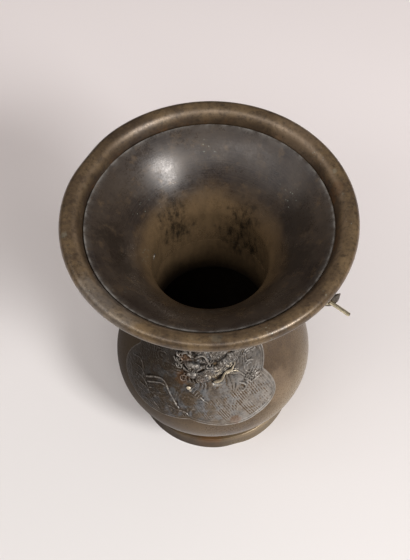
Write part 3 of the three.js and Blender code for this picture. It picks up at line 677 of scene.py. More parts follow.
    def edge_distance(self):
        """Distance of each grid point from the outline, positive inside."""
        half = [np.array([OUTLINE_START], float)]
        for control, end in OUTLINE_LOBES:
            t = np.linspace(0, 1, LOBE_STEPS + 1)[1:, None]
            start = half[-1][-1]
            half.append((1 - t) ** 2 * start + 2 * (1 - t) * t * np.array(control) + t ** 2 * np.array(end))
        right = np.vstack(half)
        loop = np.vstack([right, right[-2:0:-1] * (-1, 1), right[:1]])
        low, high = loop[:-1], loop[1:]
        x, y = self.across[..., None], self.up[..., None]
        crosses = (low[:, 1] > y) != (high[:, 1] > y)
        drop = np.where(high[:, 1] == low[:, 1], 1, high[:, 1] - low[:, 1])
        at = low[:, 0] + (y - low[:, 1]) * (high[:, 0] - low[:, 0]) / drop
        inside = (crosses & (x < at)).sum(axis=-1) % 2 == 1
        near, gap, _, _ = self.follow(self.unroll(*loop.T), 1)
        distance = np.zeros(self.height.shape)
        distance[near] = gap
        return np.where(inside, distance, -distance)

    def frame(self):
        """Fades the motifs out at the edge, and adds the double border and the let-in skirt."""
        p = self.panel
        gap = self.edge_distance()
        fade = np.clip((gap - p.inner_line_inset - p.inner_line_width / 2) / p.border_width, 0, 1)
        self.height = p.ground + (self.height - p.ground) * fade
        worn = np.clip(0.6 + 0.6 * self.across, 0.15, 1)
        for middle, width, rise in (
            (p.border_width / 2, p.border_width, p.border_rise),
            (p.inner_line_inset, p.inner_line_width, p.inner_line_rise),
        ):
            self.height += rise * worn * np.sqrt(np.clip(1 - (2 * (gap - middle) / width) ** 2, 0, 1))
        self.height = np.minimum(self.height, p.ground + 2 * np.minimum(gap, 0) + 10 * np.maximum(gap, 0))
        self.height = np.maximum(self.height, -p.skirt)

    def mesh(self, name):
        """The relief bent onto the belly, with what its material reads: wear and panel coordinates."""
        z = self.level(self.up)
        radius = np.interp(z, self.profile[:, 1], self.profile[:, 0])
        slope = np.gradient(self.profile[:, 0], self.profile[:, 1])
        lean = np.interp(z, self.profile[:, 1], slope)
        tilt = 1 / np.sqrt(1 + lean ** 2)
        out = radius + self.height * tilt
        rise = z - self.height * tilt * lean
        turn = self.across * self.panel.half_angle
        verts = np.stack([out * np.sin(turn), -out * np.cos(turn), rise], axis=-1).reshape(-1, 3)
        rows, columns = self.height.shape
        number = np.arange(rows * columns).reshape(rows, columns)
        cells = np.stack([number[:-1, :-1], number[:-1, 1:], number[1:, 1:], number[1:, :-1]], axis=-1)
        shown = (self.height > -self.panel.skirt * SKIRT_SHOWN).ravel()
        cells = cells.reshape(-1, 4)
        cells = cells[shown[cells].any(axis=1)]
        used, faces = np.unique(cells, return_inverse=True)
        mesh = bpy.data.meshes.new(name)
        mesh.from_pydata(verts[used], [], faces.reshape(-1, 4).tolist())
        fine = np.clip((self.height - soften(self.height, 3)) / (0.3 * MM), -0.6, 1)
        broad = np.clip((self.height - soften(self.height, 13)) / (1.3 * MM), -0.7, 1)
        rubbed = np.clip(0.42 + 0.36 * fine + 0.22 * broad, 0, 1)
        for key, values in (("rubbed", rubbed), ("across", self.across), ("up", self.up)):
            store(mesh, key, values.ravel()[used])
        return mesh


def soften(field, cells):
    """A field blurred over about that many grid cells."""
    reach = int(3 * cells) + 1
    weight = np.exp(-0.5 * (np.arange(-reach, reach + 1) / cells) ** 2)
    weight /= weight.sum()
    for axis in (0, 1):
        pad = [(reach, reach) if a == axis else (0, 0) for a in (0, 1)]
        padded = np.pad(field, pad, mode="edge")
        field = np.apply_along_axis(lambda line: np.convolve(line, weight, mode="valid"), axis, padded)
    return field


def chase_waves(relief, p):
    """Breaking crests and their wash on the left, and engraved water on the right."""
    crest = ((-0.6, 0.3), (-0.5, 0.352), (-0.42, 0.376), (-0.348, 0.36), (-0.25, 0.28), (-0.161, 0.212))
    for drop, swell in ((0, 1), (0.04, 0.75), (0.085, 0.5), (0.12, 0.4), (0.155, 0.4)):
        points = [(a + 0.9 * drop, u - drop) for a, u in crest]
        relief.ridge(points, p.wave_width * swell, p.wave_rise * swell ** 2, 0.6)
    for step in range(5):
        relief.ridge(
            ((-0.9 + 0.07 * step, 0.33 - 0.05 * step), (-0.8 + 0.08 * step, 0.37 - 0.06 * step),
             (-0.7 + 0.08 * step, 0.33 - 0.06 * step), (-0.64 + 0.08 * step, 0.24 - 0.05 * step)),
            p.wave_width * 0.45, p.wave_rise * 0.3)
    for step in range(4):
        relief.ridge(
            ((-0.3 + 0.035 * step, 0.155), (-0.157 + 0.035 * step, 0.143), (-0.089 + 0.03 * step, 0.089),
             (-0.045 + 0.026 * step, 0.014)), p.wave_width * 0.5, p.wave_rise * 0.35)
    relief.water((0.0, 0.27), (0.2, 0.02), 8)
    relief.water((0.2, 0.3), (0.42, 0.0), 11)
    relief.water((0.45, 0.37), (0.67, 0.0), 16)


def chase_clouds(relief, p):
    """Scrolls and streaks of cloud, with thin wisps between them."""
    width, rise = p.cloud_width, p.cloud_rise
    for points in (
        ((0.846, 0.592), (0.8, 0.606), (0.759, 0.602), (0.703, 0.574), (0.698, 0.53), (0.748, 0.494)),
        ((0.85, 0.453), (0.8, 0.449), (0.809, 0.412), (0.771, 0.408), (0.726, 0.406), (0.703, 0.433)),
        ((0.586, 0.437), (0.643, 0.408), (0.648, 0.376), (0.61, 0.356), (0.576, 0.371)),
        ((0.395, 0.55), (0.47, 0.565), (0.556, 0.568), (0.617, 0.534), (0.67, 0.482)),
        ((-0.8, 0.7), (-0.72, 0.74), (-0.66, 0.71), (-0.68, 0.66), (-0.74, 0.66)),
    ):
        relief.ridge(points, width, rise, 0.75)
    relief.ridge(((0.805, 0.571), (0.754, 0.57), (0.733, 0.545)), width * 0.6, rise * 0.7)
    relief.curl((0.76, 0.45), 2.4 * MM, 20, 1.2, width * 0.6, rise)
    relief.curl((0.7, 0.47), 2.0 * MM, 200, 1.1, width * 0.6, rise)
    for drop in (0, 0.022, 0.044):
        relief.ridge(
            ((0.42, 0.605 - drop), (0.52, 0.59 - drop), (0.61, 0.568 - drop)), width * 0.5, rise * 0.5)
    for step in range(4):
        relief.ridge(
            ((0.66 + 0.07 * step, 0.7), (0.74 + 0.06 * step, 0.67), (0.84 + 0.03 * step, 0.69)),
            width * 0.45, rise * 0.4)


def chase_half_face(relief, lean):
    """The left or right half of the dragon's face: brow, eye, nostril, horn, whisker and mane."""
    def at(out, up):
        return FACE_MIDDLE + out * lean, up

    relief.ridge((at(0.2, 0.735), at(0.15, 0.785), at(0.07, 0.785), at(0.02, 0.745)), 2.2 * MM, 5 * MM)
    relief.pit(at(0.092, 0.738), 6.2 * MM, 5.2 * MM, 2.6 * MM)
    relief.boss(at(0.092, 0.736), 3.4 * MM, 2.8 * MM, 1.6 * MM, on_top=True)
    relief.boss(at(0.04, 0.665), 5.4 * MM, 4.6 * MM, 1.3 * MM, on_top=True)
    relief.pit(at(0.03, 0.65), 1.8 * MM, 1.6 * MM, 1.6 * MM)
    relief.ridge((at(0.06, 0.79), at(0.12, 0.87), at(0.16, 0.95)), 3.2 * MM, 3.4 * MM, 0.5)
    relief.ridge(
        (at(0.09, 0.635), at(0.18, 0.615), at(0.26, 0.63), at(0.32, 0.655)), 1.4 * MM, 2.4 * MM, 0.5)
    for lock in range(3):
        relief.curl(
            at(0.225 - 0.01 * lock, 0.72 - 0.06 * lock), 2.7 * MM, 90 - 90 * lean, -1.1 * lean,
            1.3 * MM, 2.4 * MM)


def chase_dragon(relief, p):
    """The dragon: scaled coils, the head with its face, mane and teeth, and strands below it."""
    relief.coil(
        ((-0.62, 0.72), (-0.5, 0.85), (-0.26, 0.9), (-0.04, 0.85), (0.2, 0.765), (0.42, 0.825)),
        p.dragon_girth * 0.8, p.dragon_rise)
    relief.coil(
        ((0.62, 0.79), (0.53, 0.7), (0.38, 0.635), (0.22, 0.575), (0.08, 0.53)),
        p.dragon_girth, p.dragon_rise)
    relief.pit((0.526, 0.79), 5 * MM, 4 * MM, 3 * MM)
    relief.boss((-0.02, 0.66), 21 * MM, 24 * MM, 3.2 * MM)
    relief.boss((-0.02, 0.635), 13 * MM, 10 * MM, 1.6 * MM, on_top=True)
    relief.boss((-0.02, 0.54), 11 * MM, 8 * MM, 3 * MM)
    for lean in (-1, 1):
        chase_half_face(relief, lean)
    relief.groove(((-0.15, 0.615), (-0.08, 0.59), (0.04, 0.588), (0.11, 0.615)), 3 * MM, 3 * MM)
    for tooth in range(7):
        relief.boss((-0.105 + 0.029 * tooth, 0.6), 1.2 * MM, 2.4 * MM, 1.9 * MM, on_top=True)
    for strand in range(6):
        start = -0.13 + 0.045 * strand
        relief.ridge(
            ((start, 0.535), (start - 0.02, 0.505), (start - 0.015 + 0.01 * strand, 0.47)),
            1.2 * MM, 2 * MM, 0.5)


def chase_proud_lines(relief):
    """What the rubbing has brought out: the fin, a whisker, the chin and the foreleg with its ribs."""
    fin = ((0.27, 0.495), (0.357, 0.517), (0.418, 0.585), (0.492, 0.6), (0.556, 0.64), (0.58, 0.69))
    relief.ridge(fin, 1.6 * MM, 3.9 * MM)
    relief.ridge(((0.412, 0.858), (0.33, 0.812), (0.251, 0.774)), 1.3 * MM, 4.2 * MM)
    relief.pit((-0.108, 0.741), 6 * MM, 5 * MM, 3 * MM)
    relief.pit((0.1, 0.672), 5 * MM, 3 * MM, 2 * MM)
    relief.pit((0.283, 0.661), 6 * MM, 3 * MM, 2 * MM)
    relief.curl((-0.132, 0.48), 3.2 * MM, 60, 1.0, 1.3 * MM, 1.6 * MM)
    relief.boss((-0.052, 0.402), 4 * MM, 3.2 * MM, 1.5 * MM)
    relief.boss((-0.03, 0.385), 3 * MM, 3 * MM, 0.9 * MM)
    relief.ridge(((0.1, 0.33), (0.14, 0.305), (0.185, 0.278)), 1.4 * MM, 0.9 * MM, 0.5)
    for rib in range(6):
        low = np.array((-0.021 + 0.028 * rib, 0.376 - 0.0165 * rib))
        relief.ridge(
            (low, low + (0.022, 0.032 - 0.002 * rib), low + (0.053 - 0.004 * rib, 0.056 - 0.006 * rib)),
            0.9 * MM, (0.7 - 0.06 * rib) * MM, 0.6)


# Materials

# Patches of the rim: degrees from the front towards the right, radius and size in millimetres, colour
# and strength
# The rim_inner patches on the left and far side are painted shade, and the pale patch at 149 degrees is a
# painted highlight; the others are corrosion, a stain and bloom
RIM_PATCHES = (
    (16.3, 92.6, 5, "verdigris", 0.12), (118, 86, 8, "stain", 0.3), (-67.6, 96.6, 3, "verdigris", 0.2),
    (126, 91.9, 2.4, "verdigris", 0.2), (114, 90, 2.4, "verdigris", 0.2), (-32, 97, 34, "bloom", 0.2),
    (-95, 92, 44, "rim_inner", 0.3), (-125, 98, 42, "rim_inner", 0.3), (-155, 99, 40, "rim_inner", 0.25),
    (175, 99, 40, "rim_inner", 0.25), (149, 91, 24, "rim_painted_highlight", 0.28),
)
# Patches of the other pieces: a point on the surface and a size, in millimetres
THROAT_BLOTCHES = ((-36, 27, 184, 15), (-31, 28, 164, 16), (17, 40, 180, 16), (14, 38, 148, 26))
FUNNEL_BLOTCHES = ((-68, -20, 206, 18), (-57, -38, 204, 16), (57, 27, 205, 20), (61, -5, 205, 18))
BELLY_STAINS = ((30, -59, 33, 10),)
# A spot of painted sheen low on the belly's right
BELLY_SHEEN_SPOTS = ((60, -34, 76, 20),)
FOOT_STAINS = ((10, -58, 11, 13),)
RELIEF_STAINS = ((-8, -47, 117, 6), (-9, -57, 101, 7), (34, -66, 68, 6))
# Proud spots rubbed through to bare metal, also painted bright to stand for their glints
RELIEF_GLINTS = ((-3, -62, 96, 3.6), (15.7, -56, 103, 7), (21, -52, 108, 7), (26, -46, 111, 8))

# Heights between which the throat turns brown below the funnel, and is painted black deep inside as shade
THROAT_BROWN = (203 * MM, 179 * MM)
THROAT_PAINTED_SHADE = (137 * MM, 104 * MM)
# Width of the blotches in the belly's brown, which the neck takes up
BROWN_BLOTCH = 34 * MM
EASED = {"interpolation_type": "SMOOTHSTEP"}


def add_node(tree, kind, sockets=None, out=0, **settings):
    """Adds a node with its settings and links, and gives its output. A socket takes a value or an output."""
    made = tree.nodes.new(kind)
    for key, value in settings.items():
        setattr(made, key, value)
    for key, value in (sockets or {}).items():
        socket = made.inputs[key]
        if isinstance(value, bpy.types.NodeSocket):
            tree.links.new(value, socket)
        else:
            socket.default_value = (*value, 1) if socket.type == "RGBA" else value
    return made.outputs[out]


def new_surface(name):
    """An empty material with its tree, principled shader and object coordinates in metres."""
    material = bpy.data.materials.new(name)
    material.use_nodes = True
    tree = material.node_tree
    return material, tree, tree.nodes["Principled BSDF"], add_node(tree, "ShaderNodeTexCoord", out="Object")


def mottle(tree, place, size, low, high, least=0.0, most=1.0, detail=4.0, rough=0.6):
    """Soft blotches about a size in metres wide, eased from least to most between two levels of the noise."""
    cloud = add_node(tree, "ShaderNodeTexNoise", {
        "Vector": place, "Scale": 1 / size, "Detail": detail, "Roughness": rough})
    return add_node(tree, "ShaderNodeMapRange", {
        0: cloud, 1: low, 2: high, 3: least, 4: most}, **EASED)


def tint(tree, base, over, mask, strength=1.0):
    """A colour laid over another where a mask, times a strength, lets it through."""
    cover = add_node(tree, "ShaderNodeMath", {0: mask, 1: strength}, operation="MULTIPLY")
    return add_node(tree, "ShaderNodeMix", {0: cover, 6: base, 7: over}, 2, data_type="RGBA")


def lay_patches(tree, place, base, over, spots, strength):
    """A colour laid over another around points of the surface, ragged and soft at each patch's edge."""
    for x, y, z, size in np.array(spots) * MM:
        gap = add_node(tree, "ShaderNodeVectorMath", {0: place, 1: (x, y, z)}, "Value", operation="DISTANCE")
        ragged = mottle(tree, place, size / 2, 0.25, 0.75, -0.35 * size, 0.35 * size, 5, 0.7)
        edge = add_node(tree, "ShaderNodeMath", {0: gap, 1: ragged}, operation="ADD")
        mask = add_node(tree, "ShaderNodeMapRange", {0: edge, 1: 0.45 * size, 2: size, 3: 1, 4: 0}, **EASED)
        base = tint(tree, base, over, mask, strength)
    return base


def lathe_marks(tree, place, spacing):
    """Fine rings about the axis, as a turning tool and polishing leave them. The real ones lie closer:
    these are as coarse as it takes to show them."""
    flat = add_node(tree, "ShaderNodeVectorMath", {0: place, 1: (1, 1, 0)}, operation="MULTIPLY")
    radius = add_node(tree, "ShaderNodeVectorMath", {0: flat}, "Value", operation="LENGTH")
    return add_node(tree, "ShaderNodeTexNoise", {
        "W": radius, "Scale": 1 / spacing, "Detail": 3.0}, noise_dimensions="1D")


def specks(tree, place, spread, size):
    """Scattered dots of corrosion: small cells, kept only where a broad noise is high."""
    cells = add_node(tree, "ShaderNodeTexVoronoi", {"Vector": place, "Scale": 1 / (4 * size)}, "Distance")
    dot = add_node(tree, "ShaderNodeMapRange", {0: cells, 1: 0.08, 2: 0.2, 3: 1, 4: 0})
    return add_node(tree, "ShaderNodeMath", {
        0: dot, 1: mottle(tree, place, spread, 0.62, 0.72, 0, 0.7, 2)}, operation="MULTIPLY")


def patinate(tree, shader, place, f, dark, light, blotch, gloss, metal, grain=0.013 * MM):
    """Patinated cast bronze: an oxide and wax skin over the metal, worn thinner in blotches and flecks."""
    base = tint(tree, dark, light, mottle(tree, place, blotch, 0.3, 0.72, 0, 1, 6))
    base = tint(tree, base, light, mottle(tree, place, 3.2 * MM, 0.48, 0.7, 0, 0.5, 6, 0.7))
    base = tint(tree, base, f.fleck, mottle(tree, place, 1.9 * MM, 0.5, 0.72, 0, 0.7, 6, 0.75))
    shader.inputs["Metallic"].default_value = metal
    skin = mottle(tree, place, 1.4 * MM, 0.3, 0.7, *gloss)
    tree.links.new(skin, shader.inputs["Roughness"])
    pits = add_node(tree, "ShaderNodeBump", {
        "Height": skin, "Distance": grain / (gloss[1] - gloss[0]), "Strength": 1.0})
    tree.links.new(pits, shader.inputs["Normal"])
    return base


def roughen(tree, shader, more):
    """Adds to the roughness that a shader has so far."""
    skin = shader.inputs["Roughness"].links[0].from_socket
    total = add_node(tree, "ShaderNodeMath", {0: skin, 1: more}, operation="ADD")
    tree.links.new(total, shader.inputs["Roughness"])


def paint_side_light_and_shade(tree, place, f, base):
    """Painted shade on the left, away from the softbox, and painted light low on the right, where the lit
    floor would be reflected. Gives the colour and how far left it is."""
    masks = []
    for towards, start, end in (
        ((0.93, -0.25, 0), 45 * MM, -45 * MM),
        ((0.85, -0.1, -0.5), 12 * MM, 45 * MM),
    ):
        side = add_node(
            tree, "ShaderNodeVectorMath", {0: place, 1: towards}, "Value", operation="DOT_PRODUCT")
        masks.append(add_node(tree, "ShaderNodeMapRange", {0: side, 1: start, 2: end}, **EASED))
    left, right = masks
    # Painted light: the belly is made paler low on its right
    base = tint(tree, base, f.belly_painted_light, right, 0.95)
    # Painted shade: the left side, away from the softbox, is made darker
    return tint(tree, base, f.belly_shaded, left, 0.78), left


def dull_on_left(tree, shader, left):
    """Where the left side is painted darker, it is also rougher and reflects less."""
    roughen(tree, shader, add_node(tree, "ShaderNodeMath", {0: left, 1: 0.25}, operation="MULTIPLY"))
    shine = add_node(tree, "ShaderNodeMapRange", {0: left, 3: 0.42, 4: 0.06})
    tree.links.new(shine, shader.inputs["Specular IOR Level"])


def rim_bronze(f):
    """Olive-brown patinated bronze, turned and rubbed smooth: a satin band with pale corrosion dots,
    a painted highlight along its inner shoulder and painted shade on its left and far side.
    """
    material, tree, shader, place = new_surface("bronze_olive_patina_turned")
    base = patinate(tree, shader, place, f, f.rim_dark, f.rim_light, 16 * MM, (0.32, 0.44), 0.3)
    slope, shoulder = (
        add_node(tree, "ShaderNodeAttribute", out="Fac", attribute_name=name)
        for name in ("slope", "shoulder"))
    inner = add_node(tree, "ShaderNodeMapRange", {0: slope, 1: 0.62, 2: 0.98}, **EASED)
    base = tint(tree, base, f.rim_inner, inner, mottle(tree, place, 18 * MM, 0.3, 0.7, 0.55, 1))
    # Painted highlight: a pale band along the rim's inner shoulder
    base = tint(tree, base, f.rim_painted_highlight, shoulder, mottle(tree, place, 20 * MM, 0.3, 0.7, 0.25, 0.6))
    base = tint(tree, base, f.stain, inner, mottle(tree, place, 13 * MM, 0.5, 0.68, 0, 0.32))
    # Some of these patches are painted shade, and one is a painted highlight
    for degrees, radius, size, over, strength in RIM_PATCHES:
        turn = math.radians(degrees)
        spot = (radius * math.sin(turn), -radius * math.cos(turn), RIM_HIGH.z / MM, size)
        base = lay_patches(tree, place, base, getattr(f, over), (spot,), strength)
    base = tint(tree, base, f.fleck, mottle(tree, place, 3.6 * MM, 0.47, 0.66, 0, 0.5, 6, 0.75))
    base = tint(tree, base, f.verdigris, mottle(tree, place, 5 * MM, 0.58, 0.76, 0, 0.16, 6, 0.75))
    base = tint(tree, base, f.verdigris, specks(tree, place, 24 * MM, 0.6 * MM))
    tree.links.new(base, shader.inputs["Base Color"])
    roughen(tree, shader, add_node(tree, "ShaderNodeMapRange", {0: slope, 1: 0, 2: 0.3, 3: -0.05, 4: 0}))
    return material


def throat_colour(tree, place, f, base):
    """Olive-brown below the funnel, with dark streaks run down it, painted black deep inside the belly
    as shade.
    """
    height = add_node(tree, "ShaderNodeSeparateXYZ", {0: place}, "Z")
    uneven = mottle(tree, place, 24 * MM, 0.3, 0.7, -4 * MM, 4 * MM, 2)
    level = add_node(tree, "ShaderNodeMath", {0: height, 1: uneven}, operation="ADD")
    brown = add_node(tree, "ShaderNodeMapRange", {0: level, 1: THROAT_BROWN[0], 2: THROAT_BROWN[1]}, **EASED)
    upright = add_node(tree, "ShaderNodeMapping", {"Vector": place, "Scale": (1, 1, 0.3)})
    streaks = mottle(tree, upright, 4 * MM, 0.4, 0.66, 0, 1, 6, 0.75)
    base = tint(tree, base, f.throat, brown)
    faint = add_node(tree, "ShaderNodeMath", {0: brown, 1: streaks}, operation="MULTIPLY")
    base = tint(tree, base, f.throat_dark, faint, 0.28)
    run = add_node(tree, "ShaderNodeMapRange", {0: streaks, 3: 0.2, 4: 0.9})
    base = lay_patches(tree, place, base, f.throat_dark, THROAT_BLOTCHES, run)
    # Painted shade: deep inside, the colour goes nearly black
    black = add_node(tree, "ShaderNodeMapRange", {
        0: level, 1: THROAT_PAINTED_SHADE[0], 2: THROAT_PAINTED_SHADE[1], 4: 0.88}, **EASED)
    return tint(tree, base, f.inside, black)


def funnel_bronze(f):
    """Black-brown patinated bronze, turned smooth: fine rings, a soft white sheen and a brown throat.
    Outside it takes the belly's brown, with painted shade on its left.
    """
    material, tree, shader, place = new_surface("bronze_black_patina_turned")
    base = patinate(tree, shader, place, f, f.funnel_dark, f.funnel_light, 26 * MM, (0.25, 0.34), 0.2)
    marks = lathe_marks(tree, place, 0.7 * MM)
    ring = add_node(tree, "ShaderNodeMapRange", {0: marks, 1: 0.4, 2: 0.7}, **EASED)
    base = tint(tree, base, f.funnel_light, ring, 0.5)
    base = tint(tree, base, f.throat, mottle(tree, place, 9 * MM, 0.52, 0.72, 0, 0.4, 6, 0.7))
    base = lay_patches(tree, place, base, f.fleck, FUNNEL_BLOTCHES, 0.7)
    base = throat_colour(tree, place, f, base)
    ledge, outside = (
        add_node(tree, "ShaderNodeAttribute", out="Fac", attribute_name=name)
        for name in ("ledge", "outside"))
    base = tint(tree, base, f.bloom, ledge, mottle(tree, place, 6 * MM, 0.35, 0.7, 0.1, 0.65))
    base = tint(tree, base, f.verdigris, specks(tree, place, 30 * MM, 0.6 * MM))
    brown = tint(tree, f.belly_dark, f.belly_light, mottle(tree, place, BROWN_BLOTCH, 0.3, 0.72, 0, 1, 6))
    # The outside takes the belly's brown, with painted shade on its left side
    brown, left = paint_side_light_and_shade(tree, place, f, brown)
    base = tint(tree, base, brown, outside)
    dull = add_node(tree, "ShaderNodeMath", {0: left, 1: outside}, operation="MULTIPLY")
    shine = add_node(tree, "ShaderNodeMapRange", {0: dull, 3: 0.5, 4: 0.06})
    tree.links.new(shine, shader.inputs["Specular IOR Level"])
    tree.links.new(base, shader.inputs["Base Color"])
    roughen(tree, shader, mottle(tree, place, 15 * MM, 0.35, 0.65, -0.04, 0.07, 5, 0.7))
    rings = add_node(tree, "ShaderNodeBump", {"Height": marks, "Distance": 0.012 * MM, "Strength": 1.0})
    tree.links.new(rings, shader.inputs["Normal"])
    return material


def belly_bronze(f):
    """Brown patinated bronze, scraped smooth by hand: a satin skin outside, with painted light low on the
    right and painted shade on the left, and a matt dark inside, painted near black deep down as shade.
    """
    material, tree, shader, place = new_surface("bronze_brown_patina_scraped")
    base = patinate(tree, shader, place, f, f.belly_dark, f.belly_light, BROWN_BLOTCH, (0.24, 0.34), 0.2)
    base = lay_patches(tree, place, base, f.stain, BELLY_STAINS, 0.5)
    # Painted light low on the right and painted shade on the left
    base, left = paint_side_light_and_shade(tree, place, f, base)
    # Painted sheen low on the right
    base = lay_patches(tree, place, base, f.belly_painted_sheen, BELLY_SHEEN_SPOTS, 0.26)
    dull_on_left(tree, shader, left)
    inside = add_node(tree, "ShaderNodeAttribute", out="Fac", attribute_name="inside")
    base = tint(tree, base, throat_colour(tree, place, f, base), inside)
    tree.links.new(base, shader.inputs["Base Color"])
    return material


def foot_bronze(f):
    """Brown patinated bronze with orange stains where it was held and stood on, painted lighter low on
    the right and darker on the left, and darker low on its band.
    """
    material, tree, shader, place = new_surface("bronze_brown_patina_stained")
    base = patinate(tree, shader, place, f, f.belly_dark, f.belly_light, 14 * MM, (0.26, 0.36), 0.2)
    base = lay_patches(tree, place, base, f.stain, FOOT_STAINS, 0.4)
    # Painted light low on the right and painted shade on the left
    base, left = paint_side_light_and_shade(tree, place, f, base)
    dull_on_left(tree, shader, left)
    # Darker towards the bottom of the foot's band
    height = add_node(tree, "ShaderNodeSeparateXYZ", {0: place}, "Z")
    band = add_node(tree, "ShaderNodeMapRange", {0: height, 1: 8 * MM, 2: 5 * MM}, **EASED)
    base = tint(tree, base, f.belly_shaded, band, 0.4)
    tree.links.new(base, shader.inputs["Base Color"])
    return material


def relief_bronze(f):
    """Chased bronze: black in the cuts, grey-brown on the ground, and silver grey where it is rubbed;
    painted sheen on the right, painted shade on the left and under the lip, and painted glints.
    """
    material, tree, shader, place = new_surface("bronze_chased_rubbed")
    base = patinate(tree, shader, place, f, f.relief_ground, f.belly_light, 9 * MM, (0.32, 0.44), 0.4)
    base = tint(tree, base, f.relief_cool, mottle(tree, place, 7 * MM, 0.45, 0.62, 0, 0.75))
    base = tint(tree, base, f.stain, mottle(tree, place, 11 * MM, 0.62, 0.74, 0, 0.4))
    base = tint(tree, base, f.relief_cuts_and_shade, mottle(tree, place, 4.5 * MM, 0.48, 0.68, 0, 0.6, 6, 0.7))
    across, up, rubbed = (
        add_node(tree, "ShaderNodeAttribute", out="Fac", attribute_name=name)
        for name in ("across", "up", "rubbed"))
    # Painted sheen: the panel turns silver grey towards its right side, where the softbox's highlight falls
    bright = add_node(tree, "ShaderNodeMapRange", {0: across, 1: -0.1, 2: 0.75}, **EASED)
    broken = mottle(tree, place, 6 * MM, 0.35, 0.65, 0.38, 0.92, 6, 0.7)
    base = tint(tree, base, f.relief_wear_and_sheen, bright, broken)
    # Painted shade: the panel's upper part, under the overhanging lip, is darkened
    upper = add_node(tree, "ShaderNodeMapRange", {0: up, 1: 0.4, 2: 0.62}, **EASED)
    base = tint(tree, base, f.relief_cuts_and_shade, upper, 0.52)
    uneven = mottle(tree, place, 5 * MM, 0.3, 0.7, -0.11, 0.11, 6, 0.7)
    wear = add_node(tree, "ShaderNodeMath", {0: rubbed, 1: uneven}, operation="ADD")
    cut = add_node(tree, "ShaderNodeMapRange", {0: wear, 1: 0.42, 2: 0.02}, **EASED)
    proud = add_node(tree, "ShaderNodeMapRange", {0: wear, 1: 0.42, 2: 0.95}, **EASED)
    # Painted shade: the panel darkens towards its left side, here and again after the cuts and rubbing
    dull = add_node(tree, "ShaderNodeMapRange", {0: across, 1: 0.25, 2: -0.6, 4: 0.74}, **EASED)
    base = tint(tree, base, f.belly_shaded, dull)
    base = tint(tree, base, f.relief_cuts_and_shade, cut)
    base = tint(tree, base, f.relief_wear_and_sheen, proud, mottle(tree, place, 5 * MM, 0.3, 0.7, 0.45, 1))
    base = lay_patches(tree, place, base, f.stain, RELIEF_STAINS, 0.36)
    base = tint(tree, base, f.belly_shaded, dull, 0.4)
    # Painted shade: at the far left, ground and border darken alike into the belly's painted shade
    merged = add_node(tree, "ShaderNodeMapRange", {0: across, 1: -0.5, 2: -0.8}, **EASED)
    base = tint(tree, base, f.belly_shaded, merged, 0.6)
    shine = add_node(tree, "ShaderNodeMapRange", {0: across, 1: 0.2, 2: -0.6, 3: 0.5, 4: 0.12})
    tree.links.new(shine, shader.inputs["Specular IOR Level"])
    # Painted glints on a few rubbed-through proud spots: partly bare metal, partly highlight
    base = lay_patches(tree, place, base, f.relief_glint, RELIEF_GLINTS, proud)
    tree.links.new(base, shader.inputs["Base Color"])
    return material


def handle_bronze(f):
    """Sand-cast bronze left rough: mottled grey with a pitted skin."""
    material, tree, shader, place = new_surface("bronze_sand_cast")
    base = patinate(
        tree, shader, place, f, f.handle_dark, f.handle_light, 6 * MM, (0.38, 0.55), 0.5, 0.06 * MM)
    tree.links.new(base, shader.inputs["Base Color"])
    return material


def pin_brass(f):
    """Drawn brass rod, bare and bright, with small dull patches."""
    material, tree, shader, place = new_surface("brass_drawn_bare")
    dull = [c * 0.4 for c in f.brass]
    base = tint(tree, dull, f.brass, mottle(tree, place, 1.6 * MM, 0.35, 0.65, 0.3, 1))
    tree.links.new(base, shader.inputs["Base Color"])
    shader.inputs["Metallic"].default_value = 1
    shader.inputs["Roughness"].default_value = 0.28
    return material


def floor_paper(s):
    """Matt pale paper, faintly uneven: a soft ground that turns paler and warmer behind the vase."""
    material, tree, shader, place = new_surface("paper_matt")
    depth = add_node(tree, "ShaderNodeSeparateXYZ", {0: place}, "Y")
    behind = add_node(tree, "ShaderNodeMapRange", {0: depth, 1: -0.2, 2: 0.35}, **EASED)
    base = tint(tree, s.floor_colour, s.floor_back, behind, mottle(tree, place, 0.4, 0.3, 0.7, 0.94, 1))
    tree.links.new(base, shader.inputs["Base Color"])
    shader.inputs["Roughness"].default_value = 0.9
    shader.inputs["Specular IOR Level"].default_value = 0.2
    return material


# Operators


class VaseOperator:
    """What the vase's operators share."""
    bl_options = {"REGISTER", "UNDO"}

    @classmethod
    def poll(cls, context):
        return context.scene is not None


class MESH_OT_vase_rim(VaseOperator, bpy.types.Operator):
    """Turn the rounded rim, with its knock on the far left"""
    bl_idname = "mesh.vase_rim"
    bl_label = "Rim"

    def execute(self, context):
        v = context.scene.vase_body
        profile = rim_profile(v)
        mesh = turned_mesh("mouth_rim", profile, v.turns)
        crown_radius = v.mouth_radius - v.rim_overhang
        inward = (crown_radius - profile[:, 0]) / (v.rim_width - v.rim_overhang)
        store(mesh, "slope", np.repeat(np.clip(inward, 0, 1), v.turns))
        # The shoulder band marks where the painted highlight lies
        shoulder = np.exp(-((inward - HIGHLIGHT_MIDDLE) / HIGHLIGHT_SPREAD) ** 2)
        store(mesh, "shoulder", np.repeat(shoulder, v.turns))
        finish_by_hand(mesh, v.hand_depth, v.hand_size, place=3)
        dent(mesh, height=v.rim_top - RIM_KNOCK_DROP, **RIM_KNOCK)
        add_piece("rim_turned", mesh, "mouth_rim", rim_bronze(context.scene.vase_finishes))
        return {"FINISHED"}


